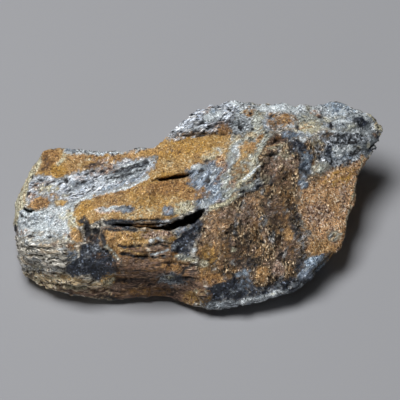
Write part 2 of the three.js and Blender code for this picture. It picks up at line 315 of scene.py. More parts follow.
class Mineral(Enum):
    """What the stone is made of, each with its finish, and a near-black painted shade for cracks, pits
    and gaps.
    """

    OCHRE = Finish((170, 135, 86), (190, 156, 104), (128, 96, 54), (228, 206, 162), 0.26, 0.18, 0.85,
                   lumps=0.2, knobs=0.16, grit=0.16, mottle=0.1)
    GOLD = Finish((172, 131, 64), (194, 152, 82), (120, 86, 42), (230, 204, 150), 0.32, 0.18, 0.85,
                  lumps=0.2, knobs=0.2, grit=0.18, mottle=0.12)
    RUST = Finish((146, 108, 64), (166, 126, 78), (92, 62, 36), (208, 172, 126), 0.34, 0.16, 0.85,
                  lumps=0.3, knobs=0.26, grit=0.2, mottle=0.12)
    EMBER = Finish((172, 133, 88), (198, 158, 108), (108, 78, 48), (236, 212, 170), 0.32, 0.2, 0.85,
                   lumps=0.2, knobs=0.2, grit=0.2, mottle=0.12)
    SILVER = Finish((192, 201, 214), (228, 235, 243), (62, 66, 76), (249, 251, 254), 0.36, 0.36, 0.5,
                    lay=Lay.BAND, lumps=0.35, knobs=0.4, grit=0.24, fibres=0.4, pits=0.55, mottle=0.24)
    SHARD = Finish((202, 211, 224), (230, 237, 246), (50, 54, 62), (250, 252, 254), 0.42, 0.36, 0.45,
                   lay=Lay.SHINGLE, lumps=0.4, knobs=0.3, grit=0.1, fibres=0.9, pits=0.8, mottle=0.16)
    PALE = Finish((198, 207, 211), (222, 229, 231), (136, 143, 146), (249, 251, 252), 0.14, 0.22, 0.7,
                  lumps=0.35, knobs=0.35, grit=0.16, pits=0.5, mottle=0.1)
    FROST = Finish((168, 175, 179), (204, 211, 214), (66, 70, 73), (240, 244, 247), 0.38, 0.26, 0.65,
                   lumps=0.35, knobs=0.25, grit=0.14, pits=0.4, mottle=0.18)
    STRATA = Finish((178, 173, 160), (214, 208, 195), (68, 63, 56), (240, 236, 226), 0.46, 0.3, 0.78,
                    lay=Lay.LEVEL, lumps=0.3, knobs=0.25, grit=0.14, fibres=0.4, beds=0.75, mottle=0.16)
    LEDGE = Finish((214, 190, 150), (240, 224, 190), (84, 66, 48), (248, 240, 220), 0.42, 0.28, 0.8,
                   lay=Lay.LEVEL, lumps=0.4, knobs=0.35, grit=0.16, fibres=0.5, beds=0.6, mottle=0.2)
    NAVY = Finish((33, 37, 46), (56, 62, 74), (14, 16, 20), (134, 146, 166), 0.36, 0.12, 0.45, 0.15,
                  lumps=0.4, knobs=0.35, grit=0.08, mottle=0.16)
    VELVET = Finish((92, 73, 52), (148, 122, 90), (26, 20, 14), (222, 200, 166), 0.5, 0.3, 0.85,
                    lay=Lay.HANGING, lumps=0.5, knobs=0.45, grit=0.3, fibres=0.5, mottle=0.3)
    ORANGE = Finish((190, 149, 108), (214, 174, 130), (112, 79, 54), (244, 224, 194), 0.38, 0.28, 0.88,
                    lumps=0.15, knobs=0.22, grit=0.26, mottle=0.13)
    GREEN = Finish((164, 167, 157), (196, 199, 188), (88, 92, 86), (230, 234, 224), 0.38, 0.26, 0.68,
                   lay=Lay.RISING, lumps=0.4, knobs=0.25, grit=0.16, fibres=0.3, mottle=0.18)
    BLACK = Finish((134, 141, 150), (178, 186, 194), (24, 25, 29), (230, 236, 242), 0.48, 0.3, 0.5, 0.1,
                   lumps=0.5, knobs=0.6, grit=0.24, mottle=0.22)
    # Near-black painted shade for cracks, pits, gaps and undercuts; it also sinks the surface as pits.
    VOID = Finish((30, 30, 34), (44, 43, 46), (14, 14, 16), (84, 84, 88), 0.4, 0.06, 0.6,
                  lumps=0.3, knobs=0.4, grit=0.1, pits=1.0)
    BLUE = Finish((116, 130, 146), (152, 165, 182), (62, 72, 86), (206, 217, 227), 0.4, 0.2, 0.5,
                  lay=Lay.RISING, lumps=0.4, knobs=0.3, grit=0.14, fibres=0.25, mottle=0.18)
    UMBER = Finish((106, 82, 67), (140, 112, 92), (52, 40, 33), (190, 162, 138), 0.42, 0.14, 0.7,
                   lay=Lay.LEVEL, lumps=0.35, knobs=0.2, grit=0.1, fibres=0.2, beds=0.25, mottle=0.3)
    SLATE = Finish((136, 144, 149), (178, 186, 192), (52, 56, 60), (230, 236, 240), 0.42, 0.28, 0.5,
                   lay=Lay.BAND, lumps=0.35, knobs=0.3, grit=0.14, fibres=0.35, mottle=0.2)
    CREAM = Finish((190, 184, 156), (214, 208, 180), (104, 96, 72), (242, 238, 220), 0.36, 0.26, 0.75,
                   lumps=0.25, knobs=0.25, grit=0.14, mottle=0.14)
    MAUVE = Finish((172, 142, 122), (198, 168, 146), (84, 62, 52), (236, 219, 204), 0.46, 0.28, 0.85,
                   lumps=0.15, knobs=0.2, grit=0.24, mottle=0.14)
    STEEL = Finish((98, 104, 108), (120, 127, 131), (66, 71, 75), (160, 167, 171), 0.24, 0.06, 0.5,
                   lumps=0.3, knobs=0.1, grit=0.06, mottle=0.12)
    AQUA = Finish((142, 160, 176), (176, 192, 210), (64, 78, 102), (226, 238, 244), 0.38, 0.28, 0.5,
                  lumps=0.4, knobs=0.4, grit=0.16, mottle=0.16)


MINERALS = list(Mineral)
(OCHRE, GOLD, RUST, EMBER, SILVER, SHARD, PALE, FROST, STRATA, LEDGE, NAVY, VELVET, ORANGE, GREEN, BLACK,
 VOID, BLUE, UMBER, SLATE, CREAM, MAUVE, STEEL, AQUA) = MINERALS
COLUMN = {mineral: column for column, mineral in enumerate(MINERALS)}


@dataclass(frozen=True)
class Area:
    """A patch with an outline, in the picture's pixels."""

    mineral: Mineral
    outline: tuple[Point, ...]
    strength: float = 1.0
    feather: float = 2.0

    def near(self, at: np.ndarray) -> np.ndarray:
        """Say which pixels the patch may touch."""
        return within(at, self.outline, self.feather)

    def cover(self, at: np.ndarray) -> np.ndarray:
        """Say how much of the surface at each pixel the patch takes, from 0 to 1."""
        inside = np.zeros(len(at), bool)
        near = np.full(len(at), np.inf)
        corners = np.array(self.outline)
        for start, end in zip(corners, np.roll(corners, -1, axis=0)):
            near = np.minimum(near, distance_to_line(at, start, end))
            crosses = (start[1] > at[:, 1]) != (end[1] > at[:, 1])
            rise = end[1] - start[1] or TINY
            inside ^= crosses & (at[:, 0] < start[0] + (at[:, 1] - start[1]) / rise * (end[0] - start[0]))
        depth = np.where(inside, near, -near)
        return self.strength * ramp(depth, -self.feather / 2, self.feather / 2)


@dataclass(frozen=True)
class Spot:
    """An oval patch, in the picture's pixels. Turn is in degrees, anticlockwise."""

    mineral: Mineral
    middle: Point
    half_length: float
    half_width: float
    turn: float = 0.0
    strength: float = 1.0
    softness: float = 0.45

    def near(self, at: np.ndarray) -> np.ndarray:
        """Say which pixels the patch may touch."""
        return within(at, (self.middle,), (1 + self.softness) * max(self.half_length, self.half_width))

    def cover(self, at: np.ndarray) -> np.ndarray:
        """Say how much of the surface at each pixel the patch takes, from 0 to 1."""
        angle = math.radians(self.turn)
        across, down = at[:, 0] - self.middle[0], at[:, 1] - self.middle[1]
        along = (across * math.cos(angle) - down * math.sin(angle)) / self.half_length
        aside = (across * math.sin(angle) + down * math.cos(angle)) / self.half_width
        return self.strength * (1 - ramp(np.hypot(along, aside), 1 - self.softness, 1 + self.softness))


@dataclass(frozen=True)
class Streak:
    """A patch along a line of pixels, full as far as CORE half widths from it and gone at RIM."""

    CORE, RIM = 0.6, 1.3

    mineral: Mineral
    points: tuple[Point, ...]
    half_width: float
    strength: float = 1.0

    def near(self, at: np.ndarray) -> np.ndarray:
        """Say which pixels the patch may touch."""
        return within(at, self.points, self.RIM * self.half_width)

    def cover(self, at: np.ndarray) -> np.ndarray:
        """Say how much of the surface at each pixel the patch takes, from 0 to 1."""
        reach = distance_to_path(at, self.points) / self.half_width
        return self.strength * (1 - ramp(reach, self.CORE, self.RIM))


@dataclass(frozen=True)
class Crack:
    """A groove along a line of pixels, or a ridge where its depth is negative.

    Width is in pixels and depth in millimetres. CORE and RIM are in half widths.
    """

    CORE, RIM = 0.2, 1.2

    points: tuple[Point, ...]
    width: float
    depth: float

    def sink(self, at: np.ndarray) -> np.ndarray:
        """Say how far the surface at each pixel sinks, in millimetres."""
        reach = distance_to_path(at, self.points) / (self.width / 2)
        return self.depth * (1 - ramp(reach, self.CORE, self.RIM))


def within(at: np.ndarray, points: tuple[Point, ...], margin: float) -> np.ndarray:
    """Say which pixels lie in the box of some points, with a margin."""
    low, high = np.min(points, axis=0) - margin, np.max(points, axis=0) + margin
    return np.all((at >= low) & (at <= high), axis=1)


def distance_to_line(at: np.ndarray, start: np.ndarray, end: np.ndarray) -> np.ndarray:
    """Give each pixel's distance from a straight line between two pixels."""
    way = np.asarray(end, float) - start
    share = np.clip(((at - start) @ way) / max(way @ way, TINY), 0, 1)
    return np.linalg.norm(at - start - share[:, None] * way, axis=1)


def distance_to_path(at: np.ndarray, points: tuple[Point, ...]) -> np.ndarray:
    """Give each pixel's distance from a line through several pixels."""
    corners = [np.array(point, float) for point in points]
    near = [distance_to_line(at, start, end) for start, end in zip(corners, corners[1:])]
    return np.minimum.reduce(near)


def spots(*rows: tuple[Any, ...]) -> tuple[Spot, ...]:
    """Make spots from rows of a mineral, a pixel's column and row, and the rest of a Spot's fields."""
    return tuple(Spot(mineral, (across, down), *rest) for mineral, across, down, *rest in rows)


GROUND = (
    Area(OCHRE, ((36, 160), (44, 148), (150, 146), (168, 133), (205, 128), (232, 126), (234, 146),
                 (226, 160), (210, 168), (200, 182), (150, 182), (140, 172), (60, 176),
                 (36, 176)), 1.0, 6),
    Area(SILVER, ((28, 178), (36, 176), (51, 176), (57, 180), (66, 178), (74, 172), (93, 168), (112, 165),
                  (124, 160), (150, 157), (155, 165), (144, 178), (128, 185), (112, 190), (92, 196),
                  (80, 200), (70, 205), (46, 202), (30, 202), (24, 198)), feather=8),
    Area(PALE, ((12, 206), (24, 212), (36, 211), (50, 206), (58, 206), (72, 203), (77, 214), (82, 222),
                (76, 232), (68, 240), (50, 241), (30, 239), (14, 236), (8, 220)), feather=4),
    Area(STRATA, ((8, 235), (30, 238), (50, 241), (68, 240), (72, 250), (66, 262), (64, 274), (44, 276),
                  (12, 274)), feather=5),
    Area(LEDGE, ((16, 272), (44, 273), (62, 272), (84, 279), (100, 283), (112, 276), (116, 302),
                 (70, 302), (36, 292)), feather=4),
    Area(OCHRE, ((72, 214), (80, 203), (92, 198), (112, 192), (130, 187), (146, 179), (170, 172),
                 (195, 176), (204, 190), (200, 206), (185, 214), (165, 221), (140, 221), (102, 219),
                 (90, 224), (78, 226))),
    Area(BLUE, ((186, 170), (202, 163), (215, 160), (230, 162), (238, 174), (243, 183), (232, 198),
                (214, 206), (200, 212), (190, 206), (198, 192), (188, 178)), 0.9, 9),
    Area(OCHRE, ((102, 229), (135, 231), (170, 229), (178, 240), (170, 250), (146, 250), (118, 258),
                 (108, 252), (98, 244)), feather=4),
    Area(RUST, ((110, 252), (122, 250), (146, 250), (170, 248), (190, 262), (186, 274), (118, 276),
                (108, 262)), feather=4),
    Area(UMBER, ((112, 275), (160, 271), (202, 270), (206, 290), (192, 304), (165, 302),
                 (112, 302)), feather=4),
    Area(SHARD, ((162, 138), (180, 122), (190, 114), (198, 104), (225, 98), (240, 94), (240, 106),
                 (234, 120), (230, 133), (212, 133), (190, 138), (170, 141))),
    Area(FROST, ((234, 94), (300, 96), (345, 96), (380, 108), (390, 130), (384, 150), (368, 140),
                 (350, 130), (300, 128), (262, 132), (240, 136), (230, 130), (236, 112)), feather=4),
    Area(GREEN, ((236, 132), (262, 128), (272, 134), (262, 163), (250, 175), (243, 184), (236, 196),
                 (225, 200), (222, 186), (230, 166), (226, 146)), feather=11),
    Area(VELVET, ((260, 152), (272, 134), (300, 130), (318, 145), (314, 166), (300, 178), (300, 200),
                  (300, 225), (310, 240), (308, 266), (290, 284), (255, 290), (215, 290), (198, 272),
                  (196, 240), (205, 213), (236, 200), (250, 186)), feather=5),
    Area(BLACK, ((318, 134), (350, 130), (368, 134), (372, 148), (360, 164), (335, 168), (320, 162),
                 (314, 148)), feather=4),
    Area(ORANGE, ((300, 186), (312, 178), (328, 171), (345, 165), (372, 158), (366, 180), (360, 200),
                  (352, 222), (350, 246), (335, 254), (316, 258), (304, 250), (306, 232),
                  (298, 208)), feather=13),
    Area(NAVY, ((208, 285), (235, 277), (262, 288), (292, 280), (312, 272), (318, 284), (290, 302),
                (262, 312), (210, 314), (200, 302)), 0.8, 4),
)

# The near-black spots and streaks in this group are painted shade: in the cracks and pits of the silver
# band, along the overhanging lip of the navy hollow, under the front edge and at the lower left corner.
LEFT_END = (
    Area(CREAM, ((32, 148), (42, 149), (42, 158), (40, 168), (34, 176), (28, 186), (26, 204), (20, 214),
                 (17, 226), (4, 224), (6, 200), (18, 180)), 0.95, 3),
    *spots((RUST, 51, 158, 10, 11, 0, 0.9), (UMBER, 44, 164, 4, 9, -15, 0.5), (GOLD, 59, 171, 8, 7)),
    Streak(CREAM, ((66, 148), (64, 158), (58, 165)), 2.2, 0.6),
    *spots((EMBER, 79, 156, 13, 6, 0, 0.8), (RUST, 106, 158, 17, 6, 0, 0.7),
           (MAUVE, 98, 162, 8, 4, 0, 0.5), (UMBER, 93, 165, 8, 2.4, 8, 0.7),
           (CREAM, 88, 159, 5, 1.6, 0, 0.6)),
    Streak(FROST, ((66, 151), (100, 153), (130, 151), (154, 146)), 3.0, 0.9),
    *spots((EMBER, 134, 154, 16, 4, 8, 0.5)),
    Streak(SLATE, ((112, 170), (124, 170), (138, 165), (154, 159)), 4.0, 0.85),
    Streak(SLATE, ((108, 176), (124, 173), (146, 165)), 4.6, 0.8),
    Streak(SLATE, ((104, 183), (124, 177.5), (144, 171)), 1.6, 0.7),
    Streak(PALE, ((112, 178.5), (128, 174), (140, 170.5)), 1.1, 0.9),
    Streak(NAVY, ((112, 173), (126, 170.5), (140, 166.5), (148, 163)), 1.2, 0.85),
    Streak(VOID, ((114, 178), (128, 174.5), (142, 170)), 0.9, 0.85),
    Streak(VOID, ((128, 179), (136, 176), (146, 171)), 0.7, 0.6),
    Streak(PALE, ((116, 168), (130, 164.5), (144, 159.5)), 0.9, 0.85),
    Streak(PALE, ((110, 182), (124, 178.5), (138, 174.5)), 1.2, 0.8),
    Streak(VOID, ((120, 170), (132, 166.5), (146, 161)), 0.7, 0.7),
    Streak(SLATE, ((124, 174), (138, 170.5), (148, 166)), 1.8, 0.6),
    *spots((MAUVE, 106, 168, 10, 6, 15, 0.6, 0.8)),
    Streak(PALE, ((70, 204), (90, 197), (112, 191.5), (132, 185.5), (148, 177)), 1.7),
    Streak(AQUA, ((100, 190), (118, 185), (134, 179), (144, 174)), 1.8, 0.5),
    *spots((PALE, 76, 186, 9, 4, 25, 0.6), (MAUVE, 40, 186, 10, 5, 10, 0.5),
           (MAUVE, 104, 172, 16, 4, 10, 0.4), (SLATE, 99, 182, 9, 3.4, 15, 0.45, 0.8),
           (CREAM, 64, 196, 9, 3, 15, 0.5), (BLUE, 74, 186, 24, 6, 17, 0.35, 0.8),
           (CREAM, 44, 189, 14, 8, 0, 0.4, 0.9), (CREAM, 52, 188, 9, 3, 5, 0.55),
           (EMBER, 39, 203, 10.5, 6.2, 10), (RUST, 41, 203, 9, 5.6, 10, 0.75),
           (UMBER, 41, 203, 9, 5.6, 10, 0.25), (PALE, 40, 241, 22, 4, 0, 0.4),
           (OCHRE, 61, 202, 7, 3.2, 5, 0.95), (CREAM, 71, 219, 5, 11, 10, 0.75),
           (BLUE, 31, 221, 12, 5, 12, 0.4, 0.8)),
    Streak(PALE, ((26, 222), (36, 218), (48, 215), (58, 210)), 1.6, 0.8),
    Streak(SLATE, ((22, 223), (33, 218.5), (44, 218)), 0.5, 0.7),
    Streak(SLATE, ((28, 226), (40, 222), (47, 217)), 0.5, 0.7),
    *spots((CREAM, 62, 216, 8, 4, 10, 0.45, 0.8), (PALE, 48, 228, 5, 3, 20, 0.9),
           (STRATA, 42, 233.5, 20, 2.6, 2, 0.5, 0.8), (MAUVE, 24, 232, 7, 4, 0, 0.4),
           (RUST, 29, 237, 7, 1.6, 0, 0.6), (EMBER, 77, 236, 6, 9, 20, 0.95),
           (RUST, 71, 246, 5, 4, 0, 0.7), (UMBER, 96, 238, 10, 8, 0, 0.8, 0.8),
           (NAVY, 98, 242, 8, 6, 0, 0.7, 0.8)),
    Area(NAVY, ((80, 246), (90, 243), (104, 248), (111, 254), (117, 262), (119, 272), (110, 275),
                (101, 281), (94, 279), (88, 275), (74, 277), (65, 271), (69, 264), (80, 258))),
    *spots((BLACK, 96, 250, 14, 5, 0, 0.35, 0.8), (UMBER, 100, 255, 9, 4, 0, 0.4),
           (BLUE, 72, 257, 7, 6, 0, 0.7)),
    Streak(GREEN, ((105, 246), (113, 252), (120, 262), (122, 272)), 2.0, 0.7),
    Streak(VOID, ((103, 249), (111, 256), (116, 264), (118, 272)), 1.5, 0.9),
    *spots((GOLD, 108, 280, 8, 5, 30, 0.75), (MAUVE, 116, 287, 5, 4, 0, 0.7),
           (CREAM, 76, 287, 10, 2.2, -5, 0.8), (OCHRE, 70, 278, 12, 3, -8, 0.6),
           (UMBER, 84, 294, 18, 4, -5, 0.85), (UMBER, 106, 293, 12, 6, 0, 0.7),
           (VOID, 110, 298, 11, 3.0, 0, 0.7, 0.8), (VOID, 27, 276, 10, 3, 0, 0.6, 0.8),
           (RUST, 52, 196, 9, 3.4, 0, 0.5, 0.8), (PALE, 47, 219, 12, 5, 10, 0.5, 0.8),
           (FROST, 110, 160, 13, 5, 0, 0.3, 0.8), (GOLD, 74, 228, 4.4, 5, 0, 0.55, 0.8),
           (MAUVE, 67, 235, 5, 3, 0, 0.55, 0.8), (CREAM, 37, 267, 7, 3.4, 0, 0.55, 0.8),
           (LEDGE, 59, 283, 8, 3.4, -5, 0.6, 0.8), (CREAM, 109.5, 280.5, 6, 3.4, 30, 0.7, 0.8),
           (MAUVE, 31, 195, 5, 6, 0, 0.5, 0.8), (UMBER, 16, 230, 3, 6, 0, 0.7),
           (STRATA, 58, 240, 10, 3, 0, 0.55, 0.8), (MAUVE, 58, 244, 10, 4, 0, 0.4, 0.8),
           (CREAM, 64, 240, 8, 5, 0, 0.5, 0.8), (UMBER, 57, 288, 8, 3, -20, 0.6, 0.8)),
)

# The near-black spots, streaks and patch in this group are painted shade: in the crevice under the lip,
# in the cracks between the terrace's ledges and under the front.
SLAB = (
    *spots((RUST, 166, 187, 28, 8, 8, 0.85), (RUST, 190, 195, 12, 6, 0, 0.75),
           (RUST, 120, 199, 30, 3, 12, 0.3), (CREAM, 140, 212, 20, 6, 10, 0.35),
           (GOLD, 162, 177, 16, 4, 8, 0.6), (GOLD, 86, 206, 9, 6, 20, 0.5)),
    Streak(RUST, ((96, 197), (116, 194), (140, 186)), 2.4, 0.6),
    Area(PALE, ((95, 209), (104, 206.5), (120, 206.5), (130, 205), (134, 208), (130, 212), (112, 213),
                (98, 212.5)), 0.8, 2.4),
    *spots((BLUE, 126, 209.5, 9, 3, 5, 0.8)),
    Streak(NAVY, ((118, 208), (126, 206.5), (133, 207.5)), 1.0, 0.75),
    Streak(MAUVE, ((98, 212), (110, 212.5), (122, 211.5)), 0.9, 0.6),
    *spots((MAUVE, 100, 210, 4, 2.5, 0, 0.4), (CREAM, 183, 208, 13, 6, 18, 0.8),
           (BLUE, 168, 211, 6, 5, 20), (BLUE, 194, 184, 7, 4, 10, 0.8), (PALE, 204, 205, 7, 4, 25, 0.7)),
    Area(NAVY, ((101, 222), (106, 219.5), (120, 219.5), (134, 220.5), (136, 224), (130, 229),
                (112, 226.5)), 0.95, 1.6),
    Streak(STEEL, ((108, 222), (118, 222.5), (128, 223)), 0.9, 0.7),
    Streak(MAUVE, ((103, 226.5), (112, 228), (122, 227)), 1.0, 0.7),
    Streak(VOID, ((104, 228.5), (120, 230), (136, 229.5)), 1.2, 0.9),
    Streak(VOID, ((134, 221), (146, 219.8), (160, 220.5)), 1.1, 0.9),
    *spots((RUST, 148, 225, 17, 3, 0, 0.9), (EMBER, 154, 228.5, 14, 2, 4, 0.6)),
    Streak(UMBER, ((136, 224), (148, 224.5), (160, 223)), 1.0, 0.6),
    *spots((BLACK, 165, 223, 8, 4, 10, 0.9)),
    # The crevice mouth is painted shade, near-black under the lip.
    Area(VOID, ((168, 226), (178, 220), (190, 214), (197, 212), (206, 207), (204, 214), (197, 220),
                (186, 225), (172, 229)), 1.0, 1.6),
    *spots((MAUVE, 158, 234, 17, 4.5, 4, 0.7), (EMBER, 122, 236, 18, 5, 0, 0.6),
           (UMBER, 134, 250, 12, 3.4, 0, 0.8), (UMBER, 136, 264, 24, 7, 0, 0.8, 0.7)),
    Streak(VOID, ((119, 246), (130, 246.5), (140, 245)), 1.3, 0.85),
    Streak(VOID, ((120, 253), (134, 256), (147, 258)), 1.5, 0.85),
    Streak(OCHRE, ((124, 250), (138, 253), (146, 254)), 1.2, 0.8),
    *spots((MAUVE, 136, 263, 16, 4, 0, 0.4), (UMBER, 142, 270, 26, 5, 0, 0.6),
           (VOID, 138, 281, 26, 2.6, 0, 0.45), (STRATA, 158, 248, 12, 12, 0, 0.65, 0.7),
           (UMBER, 158, 250, 14, 11, 0, 0.75, 0.8)),
    Streak(PALE, ((149, 241), (156, 238), (163, 241)), 1.5, 0.7),
    Streak(PALE, ((150, 254), (158, 253), (167, 250)), 1.3, 0.85),
    Streak(VOID, ((148, 246), (158, 244), (168, 246)), 1.3, 0.8),
    Streak(VOID, ((148, 257), (166, 257)), 1.1, 0.8),
    *spots((BLUE, 182, 231, 7, 3.4, 15, 0.8)),
    Area(NAVY, ((170, 250), (174, 240), (182, 234), (188, 230), (190, 221), (200, 217), (203, 224),
                (198, 236), (194, 247), (188, 253), (178, 254)), 0.95, 2.4),
    *spots((BLUE, 196, 230, 2.5, 6, -25, 0.5), (PALE, 195, 250, 3.4, 2.6, 10, 0.85),
           (NAVY, 186, 254, 7, 4, 0, 0.6, 0.8), (GREEN, 182, 257, 9, 3, 0, 0.6),
           (CREAM, 190, 260, 7, 2.6, 5, 0.9)),
    Streak(VOID, ((160, 264), (178, 264), (194, 266)), 1.3, 0.45),
    *spots((UMBER, 188, 268, 9, 6, 0, 0.8, 0.8)),
    Streak(VOID, ((183, 274), (186, 268), (196, 265)), 1.2, 0.7),
    *spots((SLATE, 172, 280, 12, 6.5, -10, 0.9, 0.7), (NAVY, 176, 278, 9, 3, -12, 0.85),
           (PALE, 168, 277, 4, 2, -10, 0.8), (MAUVE, 178, 286, 7, 3, 0, 0.5),
           (VOID, 190, 279, 8, 2, 0, 0.7), (CREAM, 169, 277, 5, 2, -10, 0.7),
           (OCHRE, 196, 298, 13, 8, 0, 0.7), (CREAM, 200, 292, 6, 3, 0, 0.5),
           (RUST, 146, 292, 26, 4, 0, 0.55)),
)

# The near-black spots and streaks in this group are painted shade in cracks, pits and the creases under
# the knob.
BACK = (
    *spots((PALE, 212, 115, 11, 6, 24, 0.9), (AQUA, 214, 112, 7, 3, 24, 0.5),
           (PALE, 233, 102, 4, 6, -20, 0.8), (MAUVE, 205, 110, 7, 4, 30, 0.35),
           (UMBER, 220, 125, 11, 5, 14, 0.75, 0.8), (RUST, 224, 130, 8, 4.5, 5, 0.9)),
    Streak(VOID, ((206, 128), (216, 125), (228, 121)), 1.3, 0.8),
    Streak(VOID, ((230, 133), (231, 126), (229, 118)), 1.4, 0.7),
    *spots((SLATE, 240, 127, 10, 9, 0, 0.85), (RUST, 250, 112, 6, 5, 0, 0.75, 0.8),
           (GREEN, 258, 120, 6, 13, 0, 0.85), (PALE, 268, 108, 13, 4.5, -4, 0.9),
           (RUST, 282, 121, 14, 8, 0, 0.8, 0.9), (VELVET, 278, 124, 11, 5, 0, 0.4, 0.9),
           (EMBER, 286, 118, 9, 5, 0, 0.5, 0.8), (VELVET, 302, 122, 5, 4, 0, 0.5, 0.8),
           (PALE, 292, 106, 12, 5, 0, 0.9), (GREEN, 310, 120, 14, 9, 0, 0.7),
           (CREAM, 308, 128, 14, 6, 10, 0.75), (EMBER, 304, 128, 7, 2.4, 10, 0.45),
           (MAUVE, 316, 113, 6, 3, 0, 0.5), (PALE, 336, 112, 9, 9, 20, 0.7),
           (BLUE, 336, 106, 8, 5, 0, 0.7), (AQUA, 340, 107, 16, 7, 5, 0.6, 0.8),
           (STEEL, 348, 115, 10, 4, -10, 0.4, 0.9), (STEEL, 337, 119, 7, 3.4, 0, 0.5, 0.8),
           (PALE, 354, 104, 9, 4, -20, 0.6, 0.8), (STEEL, 354, 118, 8, 5, 10, 0.35, 0.8),
           (SLATE, 343, 126, 9, 4, 0, 0.8)),
    Streak(PALE, ((334, 122), (343, 120.5), (352, 122)), 1.0, 0.9),
    *spots((NAVY, 361, 122.5, 8, 4.5, -10, 0.85)),
    Area(STEEL, ((364, 119), (369, 122), (373, 131), (373, 146), (368, 153), (364, 150), (366, 140),
                 (363, 130)), 0.9, 2.0),
    *spots((NAVY, 360, 122.5, 9, 4.2, -18, 0.9), (SLATE, 353, 125, 4, 3, 0, 0.6, 0.8)),
    Streak(FROST, ((366, 133), (369.5, 141), (368.5, 150)), 1.1, 0.9),
    *spots((GREEN, 349, 127, 7, 4, 0, 0.6)),
    Streak(PALE, ((322, 131.5), (345, 131.5), (366, 133.5)), 1.2, 0.9),
    *spots((STEEL, 358, 149, 8, 6, 10, 0.7, 0.8)),
    Streak(CREAM, ((361, 106), (372, 116), (384, 132)), 2.0, 0.75),
    *spots((CREAM, 380.5, 127, 5, 7, 15, 0.8)),
    Streak(VOID, ((375, 118), (378, 128), (377, 138)), 0.8, 0.7),
    Streak(VOID, ((381, 122), (384, 131)), 0.8, 0.6),
    *spots((SLATE, 378, 135.5, 5.5, 5, 30, 0.9), (UMBER, 377.5, 135, 4.4, 4, 30, 0.6),
           (NAVY, 378, 137, 4, 2.4, 30, 0.7), (CREAM, 380, 134, 2.6, 1.6, 0, 0.6),
           (STEEL, 377, 142, 7, 2.8, 35, 0.9)),
    # Painted shade along the knob's lower side.
    Streak(NAVY, ((366, 155), (371, 150), (377, 146), (384, 143)), 1.5, 0.95),
    *spots((STEEL, 366, 152, 4, 4, 0, 0.6), (VOID, 345, 135.5, 20, 3.0, -3, 0.65, 0.8),
           (VELVET, 328, 135, 6, 5, 0, 0.6, 0.8), (NAVY, 336, 142, 10, 6, -3, 0.35, 0.8),
           (FROST, 344, 151, 15, 6, 8, 0.85), (PALE, 341, 149, 10, 3.4, 8, 0.7, 0.8),
           (BLUE, 342, 157, 11, 4, 0, 0.6), (PALE, 340, 155, 7, 2.4, 8, 0.6, 0.8),
           (VOID, 356, 152, 9, 3.0, 25, 0.6, 0.8), (NAVY, 329, 151, 3.4, 8, 0, 0.8),
           (VELVET, 317, 148, 8, 12, 0, 0.6), (CREAM, 316, 142, 6, 5, 0, 0.5),
           (NAVY, 298, 147, 9, 8, 0, 0.85, 0.6), (PALE, 303, 136, 12, 5, -10, 0.7, 0.8),
           (NAVY, 288, 139, 6, 4, 0, 0.7, 0.6), (BLUE, 291, 135, 10, 3, 0, 0.8),
           (BLUE, 306, 166, 6, 14, -10, 0.85), (AQUA, 304, 158, 5, 6, 0, 0.7, 0.7),
           (VOID, 305, 172, 3.4, 3.4, 0, 0.7), (BLUE, 303, 184, 6, 5, 0, 0.9),
           (GREEN, 320, 169, 9, 6, 20, 0.8), (VELVET, 316, 177, 9, 4, 15, 0.7),
           (MAUVE, 328, 175, 4, 4, 0, 0.6), (UMBER, 277, 140, 9, 3.6, 8, 0.95),
           (CREAM, 276, 147, 10, 3, 8, 0.5)),
)
